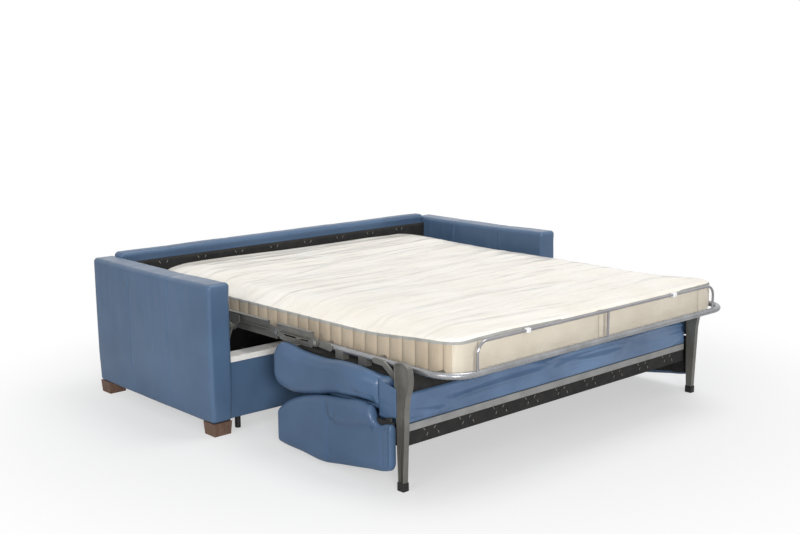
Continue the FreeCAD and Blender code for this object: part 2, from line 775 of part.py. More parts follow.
def back_cheek():
    stations = [(CHEEK_INNER, 1, 6), (CHEEK_INNER + 4, 1, 1), (911, 1, 0), (919, 1, 8)]
    return loft_x(cheek_profile, stations)


def back_frame():
    points = [(FRAME_NEAR_Y, 146), (FRAME_FAR_Y, 75), (FRAME_FAR_Y, 137), (FRAME_NEAR_Y, 208)]
    body = plate(points, -SLOT_INNER + 2, SLOT_INNER - 2)
    wing_points = [(-480, 98), (-315, 80), (-315, 134), (-480, 153)]
    wing = plate(wing_points, SLOT_INNER - 2, 894)
    return fused(body, wing, mirrored(wing))


def hinge_arm():
    """A flat arm from the back's frame up to the hinge pin beside the leg."""
    x0, x1 = LEG_X[0] - 6, LEG_X[0] - 1
    y, z = BACK_PIVOT
    body = bar((y, 165), BACK_PIVOT, 15, x0, x1)
    body = body.cut(rod_x(y, z, PIVOT_RADIUS + RUNNING_GAP, x0 - 1, x1 + 1))
    foot = block(SLOT_INNER - 2, x0, y - 24, y + 24, 152, 176)
    return fused(body, foot)


gusset_points = [
    (-891, 330),
    ((-909, 290), (-919, 227)),
    (-916, 227),
    ((-906, 290), (-888, 330)),
]
arm = hinge_arm()
cheek = back_cheek()
back_nodes = {
    "back_cushion": group(back_cushion(), *[s for strip in slot_strips() for s in both_sides(strip)]),
    "back_frame": back_frame(),
    "back_cheek_right": cheek,
    "back_cheek_left": mirrored(cheek),
    "back_hinge_arm_right": arm,
    "back_hinge_arm_left": mirrored(arm),
    "back_end_bar": block(-845, 845, FRAME_NEAR_Y - 5, FRAME_NEAR_Y, *END_BAR_Z),
    "end_gusset": plate(gusset_points, -842, 842),
}

# Every piece is shifted to the origin, checked and written

everything = {}
for nodes in (shell_nodes, arm_nodes, middle_nodes, head_nodes, link_nodes, foot_nodes, back_nodes):
    everything.update(nodes)
for name, shape in everything.items():
    shape.translate(V(0, ORIGIN_SHIFT, 0))
    whole = shape.isValid() and all(s.isClosed() for s in shape.Solids)
    if not whole or not shape.Solids:
        print("not a closed solid:", name)
    shape.exportStep("parts/" + name + ".step")
print(len(everything), "nodes")
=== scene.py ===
import json
import math

import bpy
import numpy as np
from mathutils import Matrix, Vector


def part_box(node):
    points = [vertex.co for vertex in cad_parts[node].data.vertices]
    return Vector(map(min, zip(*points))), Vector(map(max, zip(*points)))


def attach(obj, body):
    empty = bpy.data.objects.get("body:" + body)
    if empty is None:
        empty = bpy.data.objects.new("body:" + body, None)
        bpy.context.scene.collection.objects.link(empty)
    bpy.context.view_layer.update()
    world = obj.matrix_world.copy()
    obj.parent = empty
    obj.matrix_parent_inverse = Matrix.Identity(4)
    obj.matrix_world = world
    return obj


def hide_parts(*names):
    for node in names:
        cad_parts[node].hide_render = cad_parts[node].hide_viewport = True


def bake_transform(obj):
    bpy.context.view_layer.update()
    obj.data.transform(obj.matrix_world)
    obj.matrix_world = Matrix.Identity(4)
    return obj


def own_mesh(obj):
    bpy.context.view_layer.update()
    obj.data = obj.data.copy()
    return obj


# The looks of a leather three-seat sofa with its bed folded out. Lengths are metres.
# X runs across the sofa, Y from the bed's foot to the sofa's back, and Z is up.

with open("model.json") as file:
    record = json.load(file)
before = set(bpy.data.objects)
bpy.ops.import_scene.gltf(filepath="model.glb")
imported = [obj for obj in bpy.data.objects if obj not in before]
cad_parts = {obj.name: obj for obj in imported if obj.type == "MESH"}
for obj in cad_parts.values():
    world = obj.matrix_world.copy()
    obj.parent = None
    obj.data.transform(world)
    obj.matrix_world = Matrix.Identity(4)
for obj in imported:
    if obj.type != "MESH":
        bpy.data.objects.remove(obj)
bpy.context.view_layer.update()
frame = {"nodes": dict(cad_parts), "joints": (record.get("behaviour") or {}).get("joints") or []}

ARM_LOW, ARM_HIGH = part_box("sofa_arm_right")
BACK_LOW, BACK_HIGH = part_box("back_shell")
RAIL_LOW, RAIL_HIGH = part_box("front_rail")
LINING_LOW, LINING_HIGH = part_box("back_lining")
MIDDLE_LOW, MIDDLE_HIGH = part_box("mattress_middle")
BACK_PAD_LOW, BACK_PAD_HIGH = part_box("back_cushion")
BAR_LOW, BAR_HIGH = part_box("back_end_bar")
ARM_FRONT = ARM_LOW.y
SEAT_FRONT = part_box("seat_cushion")[0].y
CHEEK_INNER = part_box("back_cheek_right")[0].x
NO_SEAMS = ((), (), ())


def joint_place(name):
    return next(j for j in frame["joints"] if j["name"] == name)["pos_m"]


def srgb(red, green, blue):
    """A colour on the 0 to 255 screen scale as linear light."""
    def linear(value):
        v = value / 255
        return v / 12.92 if v <= 0.04045 else ((v + 0.055) / 1.055) ** 2.4

    return (linear(red), linear(green), linear(blue), 1.0)


def shaded(colour, share):
    return tuple(c * share for c in colour[:3]) + (1.0,)


# Meshes from grids of points

CELL_PRIMES = np.array((374761393, 668265263, 1274126177))
SEED_PRIME = 974634777
WORD = 0xFFFFFFFF


def lattice_noise(points, cell, seed):
    """Smooth value noise from -1 to 1, with one random value per lattice cell of the given sizes."""
    p = points / np.asarray(cell, float)
    low = np.floor(p).astype(np.int64)
    f = p - low
    f = f * f * (3 - 2 * f)
    total = np.zeros(len(p))
    for corner in np.ndindex(2, 2, 2):
        h = ((low + np.array(corner)) @ CELL_PRIMES + seed * SEED_PRIME) & WORD
        h = ((h ^ (h >> 13)) * 1103515245) & WORD
        h = ((h ^ (h >> 15)) * 668265263) & WORD
        value = (h ^ (h >> 16)) / 0x7FFFFFFF - 1
        weight = np.prod(np.where(corner, f, 1 - f), axis=1)
        total += weight * value
    return total


def creases(points, cell, seed, sharp=3.0):
    """Thin raised lines from 0 to 1, drawn out along the cell's long side."""
    warp = lattice_noise(points, np.asarray(cell) * 1.7, seed + 50)[:, None] * np.asarray(cell) * 0.35
    return (1 - np.abs(lattice_noise(points + warp, cell, seed))) ** sharp


def smooth_step(value, start, end):
    t = np.clip((value - start) / (end - start), 0, 1)
    return t * t * (3 - 2 * t)


GROOVE = 0.003
GROOVE_LINES = (-2.2, -1, -0.4, 0, 0.4, 1, 2.2)


def lines(low, high, step, radius=0.0, seams=(), arc_steps=4):
    """Grid positions from low to high: arcs at both ends, an even step between, and fine lines at seams."""
    ends = [0.0]
    if radius:
        ends = [radius * (1 - math.tan(math.pi / 4 * k / arc_steps)) for k in range(arc_steps + 1)]
    inner_low, inner_high = low + radius, high - radius
    count = max(1, round((inner_high - inner_low) / step))
    even = [inner_low + (inner_high - inner_low) * i / count for i in range(count + 1)]
    near = [s + k * GROOVE for s in seams for k in GROOVE_LINES]
    kept = [v for v in even if all(abs(v - n) > GROOVE for n in near)]
    tips = [low + e for e in ends] + [high - e for e in ends]
    return np.array(sorted({round(v, 6) for v in tips + kept + near}))


def shell_of(xs, ys, zs):
    """The surface of a box lattice as points and outward quads."""
    shape = (len(xs), len(ys), len(zs))
    grid = np.stack(np.meshgrid(xs, ys, zs, indexing="ij"), -1)
    outer = np.zeros(shape, bool)
    outer[[0, -1]] = outer[:, [0, -1]] = outer[:, :, [0, -1]] = True
    ids = -np.ones(shape, int)
    ids[outer] = np.arange(outer.sum())

    def quads(a, flip):
        q = np.stack([a[:-1, :-1], a[1:, :-1], a[1:, 1:], a[:-1, 1:]], -1).reshape(-1, 4)
        return q[:, ::-1] if flip else q

    faces = [
        quads(ids[0], True), quads(ids[-1], False),
        quads(ids[:, 0], False), quads(ids[:, -1], True),
        quads(ids[:, :, 0], True), quads(ids[:, :, -1], False),
    ]
    return grid[outer], np.concatenate(faces)


def normals_of(points, quads):
    a, b, c, d = (points[quads[:, i]] for i in range(4))
    face = np.cross(c - a, d - b)
    total = np.zeros_like(points)
    for i in range(4):
        np.add.at(total, quads[:, i], face)
    return total / np.maximum(np.linalg.norm(total, axis=1, keepdims=True), 1e-12)


def rounded(points, low, high, radii):
    """Moves the surface of a box to a box with elliptical edges of the given radii."""
    r = np.asarray(radii, float)
    inner = np.clip(points, np.asarray(low) + r, np.asarray(high) - r)
    away = (points - inner) / r
    length = np.linalg.norm(away, axis=1, keepdims=True)
    return inner + away / np.maximum(length, 1e-9) * r


def piece(name, points, quads, material, body=None):
    mesh = bpy.data.meshes.new(name)
    mesh.from_pydata([tuple(p) for p in points], [], [tuple(int(i) for i in q) for q in quads])
    mesh.materials.append(material)
    mesh.polygons.foreach_set("use_smooth", [True] * len(mesh.polygons))
    mesh.update()
    thing = bpy.data.objects.new(name, mesh)
    bpy.context.scene.collection.objects.link(thing)
    if body:
        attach(thing, body)
    return thing


def ticks(name, places, material, body, angles, size=(0.014, 0.0024), depth=0.0008):
    """Small flat marks on an upright face that looks to -Y, each place as x, y, z of its centre."""
    points, quads = [], []
    for i, place in enumerate(places):
        angle = math.pi / 2 - angles[i % len(angles)]
        along = np.array((math.cos(angle), 0, math.sin(angle))) * size[0] / 2
        across = np.array((-math.sin(angle), 0, math.cos(angle))) * size[1] / 2
        out = np.array((0, -depth, 0))
        first = len(points)
        for layer in (0, 1):
            for a, b in ((-1, -1), (1, -1), (1, 1), (-1, 1)):
                points.append(np.array(place) + a * along + b * across + out * layer)
        f = [first + k for k in range(8)]
        quads += [(f[4], f[5], f[6], f[7]), (f[3], f[2], f[1], f[0])]
        quads += [(f[k], f[(k + 1) % 4], f[(k + 1) % 4 + 4], f[k + 4]) for k in range(4)]
    return piece(name, np.array(points), np.array(quads), material, body)


def dressed(node):
    """Hides the node that a padded piece stands for."""
    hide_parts(node)


def mirrored_piece(source, name, body):
    points = np.array([v.co[:] for v in source.data.vertices])
    points[:, 0] *= -1
    quads = np.array([p.vertices[:] for p in source.data.polygons])[:, ::-1]
    return piece(name, points, quads, source.data.materials[0], body)


# Materials

class Surface:
    """A procedural material: a principled shader with helpers for textures in object metres."""

    def __init__(self, name, colour, roughness, metallic=0.0, **inputs):
        self.material = bpy.data.materials.new(name)
        self.material.use_nodes = True
        self.nodes = self.material.node_tree.nodes
        self.shader = self.nodes["Principled BSDF"]
        self.shader.inputs["Base Color"].default_value = colour
        self.shader.inputs["Roughness"].default_value = roughness
        self.shader.inputs["Metallic"].default_value = metallic
        for key, value in inputs.items():
            self.shader.inputs[key.replace("_", " ")].default_value = value
        self.place = self.nodes.new("ShaderNodeTexCoord").outputs["Object"]
        self.bump_output = None

    def link(self, source, target):
        self.material.node_tree.links.new(source, target)

    def noise(self, scale, detail, stretch=(1, 1, 1), distortion=0.0):
        mapping = self.nodes.new("ShaderNodeMapping")
        mapping.inputs["Scale"].default_value = stretch
        self.link(self.place, mapping.inputs["Vector"])
        node = self.nodes.new("ShaderNodeTexNoise")
        node.inputs["Scale"].default_value = scale
        node.inputs["Detail"].default_value = detail
        node.inputs["Distortion"].default_value = distortion
        self.link(mapping.outputs["Vector"], node.inputs["Vector"])
        return node.outputs["Fac"]

    def cells(self, scale, feature="DISTANCE_TO_EDGE"):
        node = self.nodes.new("ShaderNodeTexVoronoi")
        node.feature = feature
        node.inputs["Scale"].default_value = scale
        self.link(self.place, node.inputs["Vector"])
        return node.outputs["Distance"]

    def wave(self, scale, direction, distortion):
        node = self.nodes.new("ShaderNodeTexWave")
        node.bands_direction = direction
        node.inputs["Scale"].default_value = scale
        node.inputs["Distortion"].default_value = distortion
        self.link(self.place, node.inputs["Vector"])
        return node.outputs["Fac"]

    def seams(self, axis, pitch, width):
        """1 on thin lines across an axis, one every pitch, and 0 between them."""
        parts = self.nodes.new("ShaderNodeSeparateXYZ")
        self.link(self.place, parts.inputs[0])
        node = self.nodes.new("ShaderNodeMath")
        node.operation = "PINGPONG"
        self.link(parts.outputs[axis], node.inputs[0])
        node.inputs[1].default_value = pitch / 2
        return self.spread(node.outputs[0], width * 0.35, width, 1, 0)

    def spread(self, value, low, high, to_low, to_high):
        node = self.nodes.new("ShaderNodeMapRange")
        for key, number in zip(("From Min", "From Max", "To Min", "To Max"), (low, high, to_low, to_high)):
            node.inputs[key].default_value = number
        self.link(value, node.inputs["Value"])
        return node.outputs["Result"]

    def mix(self, factor, first, second):
        node = self.nodes.new("ShaderNodeMix")
        node.data_type = "RGBA"
        for socket, colour in (("A", first), ("B", second)):
            target = [s for s in node.inputs if s.name == socket and s.type == "RGBA"][0]
            if isinstance(colour, tuple):
                target.default_value = colour
            else:
                self.link(colour, target)
        self.link(factor, node.inputs["Factor"])
        return [s for s in node.outputs if s.type == "RGBA"][0]

    def colour(self, value):
        self.link(value, self.shader.inputs["Base Color"])

    def drift(self, scale, detail, low, high, dark, light):
        """A colour that goes from dark to light where smooth noise goes from low to high."""
        return self.mix(self.spread(self.noise(scale, detail), low, high, 0, 1), dark, light)

    def rough(self, value, low, high, to_low, to_high):
        self.link(self.spread(value, low, high, to_low, to_high), self.shader.inputs["Roughness"])

    def bump(self, height, strength, distance, coat_too=False):
        node = self.nodes.new("ShaderNodeBump")
        node.inputs["Strength"].default_value = strength
        node.inputs["Distance"].default_value = distance
        self.link(height, node.inputs["Height"])
        if self.bump_output:
            self.link(self.bump_output, node.inputs["Normal"])
        self.bump_output = node.outputs["Normal"]
        self.link(self.bump_output, self.shader.inputs["Normal"])
        if coat_too:
            self.link(self.bump_output, self.shader.inputs["Coat Normal"])


def leather(name, colour, dark, light, gloss):
    s = Surface(name, colour, 0.4, Specular_IOR_Level=0.2, Coat_Weight=gloss, Coat_Roughness=0.2)
    s.colour(s.drift(3.2, 3.0, 0.35, 0.68, dark, light))
    s.rough(s.noise(9.0, 3.0), 0.3, 0.7, 0.32, 0.46)
    s.bump(s.noise(26.0, 3.0), 0.2, 0.003, True)
    s.bump(s.cells(420.0), 0.25, 0.0005)
    return s.material


def mattress_cloth():
    """Cream cloth under the clear film of a new mattress, which gives gloss and drawn-out wrinkles."""
    film = {"Coat_Weight": 0.7, "Coat_Roughness": 0.14, "Coat_IOR": 1.45}
    s = Surface("mattress_cloth", srgb(242, 237, 226), 0.55, **film)
    s.colour(s.drift(5.0, 3.0, 0.3, 0.7, srgb(240, 233, 220), srgb(248, 244, 235)))
    s.bump(s.noise(700.0, 2.0), 0.2, 0.0004)
    s.bump(s.noise(7.0, 3.0, (0.3, 1.6, 1.0), 0.8), 0.6, 0.02, True)
    s.bump(s.noise(34.0, 3.0, (0.3, 1.5, 1.0), 1.2), 0.22, 0.003, True)
    return s.material


def mattress_border(name, axis, pitch, dark, light, gloss):
    """The border's cloth, quilted with upright seams across the given axis."""
    s = Surface(name, light, 0.7, Sheen_Weight=0.1, Coat_Weight=gloss, Coat_Roughness=0.16)
    seam = s.seams(axis, pitch, 0.0032)
    s.colour(s.mix(seam, s.drift(7.0, 3.0, 0.3, 0.7, dark, light), shaded(dark, 0.66)))
    s.bump(s.wave(420.0, "Z", 1.0), 0.15, 0.0003)
    s.bump(s.noise(22.0, 4.0, (0.6, 1, 1.4), 1.5), 0.2 + gloss, 0.005, True)
    s.bump(s.spread(seam, 0, 1, 1, 0), 0.5, 0.002)
    return s.material


def painted(name, colour, roughness, metallic=0.0, depth=0.00025):
    s = Surface(name, colour, roughness, metallic)
    s.colour(s.drift(14.0, 5.0, 0.35, 0.75, shaded(colour, 0.72), colour))
    s.rough(s.noise(30.0, 4.0), 0.3, 0.7, roughness * 0.85, roughness * 1.2)
    if depth:
        s.bump(s.noise(160.0, 3.0), 0.2, depth)
    return s.material


def brushed(name, colour, roughness, stretch):
    s = Surface(name, colour, roughness, 1.0)
    s.rough(s.noise(220.0, 3.0, stretch), 0.3, 0.7, roughness * 0.7, roughness * 1.35)
    s.colour(s.drift(11.0, 4.0, 0.35, 0.7, shaded(colour, 0.84), colour))
    s.bump(s.noise(240.0, 2.0, stretch), 0.12, 0.0002)
    return s.material


def wood():
    s = Surface("foot_wood", srgb(112, 86, 72), 0.5)
    grain = s.noise(28.0, 6.0, (6, 6, 0.35), 1.5)
    s.colour(s.mix(s.spread(grain, 0.3, 0.7, 0, 1), srgb(82, 60, 48), srgb(117, 91, 74)))
    s.rough(grain, 0.3, 0.7, 0.42, 0.6)
    s.bump(s.noise(90.0, 4.0, (8, 8, 0.4), 0.6), 0.35, 0.0006)
    return s.material


def felt():
    s = Surface("felt", srgb(244, 242, 237), 0.95, Sheen_Weight=0.2)
    s.colour(s.drift(40.0, 5.0, 0.3, 0.7, srgb(240, 237, 230), srgb(249, 248, 244)))
    s.bump(s.noise(500.0, 3.0), 0.6, 0.0012)
    return s.material


def lining():
    s = Surface("lining", srgb(26, 25, 25), 0.85)
    s.colour(s.drift(20.0, 5.0, 0.4, 0.75, srgb(20, 19, 19), srgb(38, 36, 35)))
    s.bump(s.cells(260.0, "F1"), 0.4, 0.0006)
    s.bump(s.noise(14.0, 4.0, distortion=1.0), 0.4, 0.006)
    return s.material


def moulded(name, colour, roughness):
    s = Surface(name, colour, roughness)
    s.rough(s.noise(60.0, 3.0), 0.3, 0.7, roughness * 0.85, roughness * 1.15)
    s.bump(s.noise(900.0, 2.0), 0.25, 0.0003)
    return s.material


def foam():
    s = Surface("foam_pad", srgb(205, 200, 186), 0.9)
    s.colour(s.mix(s.noise(30.0, 4.0), srgb(196, 190, 175), srgb(214, 210, 198)))
    s.bump(s.cells(380.0, "F1"), 0.5, 0.0012)
    return s.material


CHANNEL = 0.067
END_PANEL = CHANNEL * 10
LEATHER = leather("leather", srgb(79, 103, 132), srgb(74, 97, 125), srgb(83, 108, 138), 0.3)
# A darker copy of the sofa's leather for the cushions under the bed: painted shade.
SHADED_CUSHION_LEATHER = leather("cushion_leather", srgb(72, 96, 125), srgb(66, 89, 117), srgb(77, 102, 133), 0.2)
# A lighter copy of the sofa's leather for the end gusset: painted light.
LIT_GUSSET_LEATHER = leather("gusset_leather_painted_light", srgb(84, 111, 146), srgb(70, 95, 128), srgb(98, 128, 165), 0.8)
TICKING = mattress_cloth()
# The mattress's sides and foot end share one border cloth: the sides' copy is darker, as painted shade, and
# the end's is lighter, as painted light.
SHADED_SIDE_BORDER = mattress_border("side_border_painted_shade", "Y", CHANNEL, srgb(181, 166, 144), srgb(195, 181, 160), 0.1)
LIT_END_BORDER = mattress_border("end_border_painted_light", "X", END_PANEL, srgb(206, 196, 178), srgb(219, 210, 193), 0.35)
LINING = lining()
STEEL = painted("grey_steel", srgb(124, 123, 118), 0.36, 0.4)
BAR_GREY = painted("light_grey_bar", srgb(158, 158, 157), 0.45, 0.2)
SILVER = painted("silver_tube", srgb(166, 168, 171), 0.27, 0.75, depth=0)
CHROME = brushed("bright_rod", srgb(168, 167, 172), 0.2, (1, 8, 8))
ZINC = brushed("zinc_pins", srgb(180, 178, 172), 0.35, (0.3, 6, 6))
MESH = painted("mesh_wire", srgb(90, 90, 92), 0.45, 0.5)
NODE_MATERIALS = {
    "front_felt": felt(),
    "back_frame": LINING,
    "seat_board": LINING,
    "support_feet": moulded("black_plastic", srgb(24, 24, 25), 0.45),
    "leg_tips": moulded("rubber_tip", srgb(22, 22, 22), 0.7),
    "back_end_bar": BAR_GREY,
    "foot_tube": SILVER,
    "guard_rail": CHROME,
}
FOOT_WOOD = wood()
FOAM = foam()
SEAM = painted("piping", srgb(172, 172, 168), 0.6)
FILM = moulded("film_tie", srgb(236, 236, 238), 0.25)
STAPLE = painted("staple", srgb(160, 157, 148), 0.5, 0.2)


def dress_cad_nodes():
    """Gives every carried-over node its finish."""
    for node, thing in frame["nodes"].items():
        if node.startswith("wood_foot"):
            finish = FOOT_WOOD
        elif node.endswith(("pins", "posts")):
            finish = ZINC
        elif node.endswith("mesh"):
            finish = MESH
        else:
            finish = NODE_MATERIALS.get(node, STEEL)
        thing.data.materials.clear()
        thing.data.materials.append(finish)


# Sofa shell

SEAM_WIDTH = 0.0022
SEAM_SINK = 0.0014
PUCKER_REACH = 0.028
PANEL_PUFF = 0.001


def seam_dip(distance, width, depth):
    return -depth * np.exp(-(distance / width) ** 2)


def upholstered(name, low, high, radius, seams, material, body, shape=None, step=0.014):
    """A covered block with soft edges, sewn seams across it, and a little slack between them."""
    axes = [lines(low[i], high[i], step, radius, seams[i]) for i in range(3)]
    flat, quads = shell_of(*axes)
    points = rounded(flat, low, high, (radius,) * 3)
    normals = normals_of(points, quads)
    bulge = np.zeros(len(points))
    for axis in range(3):
        marks = [low[axis], *seams[axis], high[axis]]
        across = 1 - np.abs(normals[:, axis]) ** 4
        if len(marks) > 2:
            for a, b in zip(marks, marks[1:]):
                t = np.clip((points[:, axis] - a) / (b - a), 0, 1)
                bulge += across * PANEL_PUFF * np.sqrt(np.clip(np.sin(np.pi * t), 0, 1))
        for s in seams[axis]:
            away = points[:, axis] - s
            bulge += across * seam_dip(away, SEAM_WIDTH, SEAM_SINK)
            pucker = np.exp(-(away / PUCKER_REACH) ** 2) * across
            bulge += 0.0006 * pucker * lattice_noise(points, (0.022, 0.022, 0.022), 7 + axis)
    bulge += 0.0016 * lattice_noise(points, (0.24, 0.24, 0.2), 3)
    bulge += 0.0006 * lattice_noise(points, (0.07, 0.07, 0.11), 4)
    if shape:
        bulge += shape(points, normals)
    points = points + normals * bulge[:, None]
    return piece(name, points, quads, material, body)


ARM_DEPTH = ARM_HIGH.y - ARM_LOW.y
ARM_RADIUS = 0.017
FRONT_PANEL = 0.026


def arm_shape(points, normals):
    """Drawn in above the feet, with slack drag lines under the top edge and a sewn front panel."""
    outward = np.abs(normals[:, 0])
    behind = points[:, 1] - ARM_FRONT
    height = points[:, 2]
    draw = -0.005 * outward * smooth_step(height, ARM_LOW.z + 0.16, ARM_LOW.z)
    drag = 0.0022 * outward * creases(points, (0.3, 0.05, 0.36), 11, 4.0)
    drag *= smooth_step(height, ARM_LOW.z + 0.1, ARM_LOW.z + 0.5)
    front = outward * seam_dip(behind - FRONT_PANEL, 0.004, 0.0018)
    sag = -0.005 * np.clip(normals[:, 2], 0, 1) * np.sin(np.pi * np.clip(behind / ARM_DEPTH, 0, 1))
    near = np.exp(-(behind / 0.05) ** 2) * smooth_step(height, ARM_HIGH.z - 0.12, ARM_HIGH.z)
    pucker = 0.0035 * near * lattice_noise(points, (0.035, 0.09, 0.05), 12)
    return draw + drag + front + sag + pucker


def sofa_arms():
    """Both arms, each covered in three sewn panels."""
    seams = [(), [ARM_LOW.y + ARM_DEPTH / 3, ARM_LOW.y + ARM_DEPTH * 2 / 3], ()]
    right = upholstered(
        "arm_cover_right", ARM_LOW, ARM_HIGH, ARM_RADIUS, seams, LEATHER, "root", arm_shape
    )
    left = mirrored_piece(right, "arm_cover_left", "root")
    for thing, side in ((right, "right"), (left, "left")):
        dressed("sofa_arm_" + side)


def back_shape(points, normals):
    """Pulled flat where the lining is stapled over it."""
    return np.where((normals[:, 1] < -0.5) & (points[:, 2] < LINING_HIGH.z + 0.02), -0.006, 0)


BACK_PANEL = 0.34
BACK_RADIUS = 0.018
BACK_SEAM = 0.028
RAIL_RADIUS = 0.007


def back_cover():
    """The back, with upright seams across it and one along its top near the front edge."""
    seams = [[i * BACK_PANEL for i in range(-2, 3)], [BACK_LOW.y + BACK_SEAM], ()]
    cover = upholstered(
        "back_cover", BACK_LOW, BACK_HIGH, BACK_RADIUS, seams, LEATHER, "root", back_shape
    )
    dressed("back_shell")


def rail_cover():
    cover = upholstered("rail_cover", RAIL_LOW, RAIL_HIGH, RAIL_RADIUS, NO_SEAMS, LEATHER, "root")
    dressed("front_rail")


STAPLE_COLUMNS = (-0.727, -0.518, -0.306, -0.095, 0.117, 0.33, 0.54, 0.75)
STAPLE_ROWS = (0.57, 0.39, 0.20)
STAPLE_GAP = 0.019


def lining_sheet():
    """Black cloth stapled inside the back, with small creases across it."""
    xs = lines(LINING_LOW.x, LINING_HIGH.x, 0.016)
    ys = np.array([LINING_LOW.y, LINING_HIGH.y])
    zs = lines(LINING_LOW.z, LINING_HIGH.z, 0.016)
    points, quads = shell_of(xs, ys, zs)
    front = points[:, 1] < LINING_HIGH.y - 0.0005
    ripple = 0.004 * creases(points, (0.1, 1, 0.06), 21) + 0.002 * lattice_noise(points, (0.3, 1, 0.2), 22)
    points[:, 1] -= np.where(front, np.abs(ripple), 0)
    cloth = piece("back_lining_cloth", points, quads, LINING, "root")
    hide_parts("back_lining")
    face = LINING_LOW.y - 0.0042
    pairs = [(x, z) for x in STAPLE_COLUMNS for z in STAPLE_ROWS]
    places = [(x + side * STAPLE_GAP, face, z) for x, z in pairs for side in (-1, 1)]
    ticks("lining_staples", places, STAPLE, "root", (-0.5, 0.7, -0.6, 0.5))


STAPLE_GROUP = ((-0.030, -0.010), (-0.016, -0.030), (0.022, -0.012), (0.040, -0.034))
GROUP_START = -0.722
GROUP_PITCH = 0.1805


def frame_staples():
    """Small staples along the cloth of the back's frame, at the bed's foot."""
    face = BAR_HIGH.y - 0.0002
    columns = [GROUP_START + i * GROUP_PITCH for i in range(9)]
    places = [(x + dx, face, BAR_LOW.z + dz) for x in columns for dx, dz in STAPLE_GROUP]
    ticks("frame_staples", places, STAPLE, "backrest", (-0.6, 0.5, 0.7, -0.5), (0.013, 0.0021), 0.0007)


# Mattress, in lengths cut near the folding frame's joints

MATTRESS_LOW_Z = MIDDLE_LOW.z
MATTRESS_HIGH_Z = MIDDLE_HIGH.z
MATTRESS_TOP = MATTRESS_HIGH_Z - 0.010
MATTRESS_HALF = 0.797
MATTRESS_CORNER = 0.075
MATTRESS_ENDS = (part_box("mattress_foot")[0].y + 0.001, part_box("mattress_head")[1].y - 0.004)
EDGE_RADIUS = 0.028
RIM_RADIUS = 0.018
UNDER_RADIUS = 0.006
SIDE_SINK = 0.030
CROWN = 0.010
HEAD_CROWN = 0.016
BORDER_DROOP = 0.023
TUFT_DEPTH = 0.007
TUFT_BACK = 0.005
PIPING_DEPTH = 0.0265
MATTRESS_FINISHES = (TICKING, SHADED_SIDE_BORDER, LIT_END_BORDER, SEAM)
TOP_SLOT, SHADED_SIDE_SLOT, LIT_END_SLOT, PIPING_SLOT = range(4)
CAP_STRETCH = 8


def round_plan(points, low_end, high_end):
    """Turns the square plan corners of the mattress into round ones."""
    centre_x = MATTRESS_HALF - MATTRESS_CORNER
    dx = np.maximum(np.abs(points[:, 0]) - centre_x, 0)
    for end, sign in ((low_end, -1), (high_end, 1)):
        centre_y = end - sign * MATTRESS_CORNER
        dy = np.maximum(sign * (points[:, 1] - centre_y), 0)
        both = (dx > 0) & (dy > 0)
        scale = np.where(both, np.maximum(dx, dy) / np.maximum(np.hypot(dx, dy), 1e-9), 1)
        points[:, 0] = np.where(both, np.sign(points[:, 0]) * (centre_x + dx * scale), points[:, 0])
        points[:, 1] = np.where(both, centre_y + sign * dy * scale, points[:, 1])
    return points


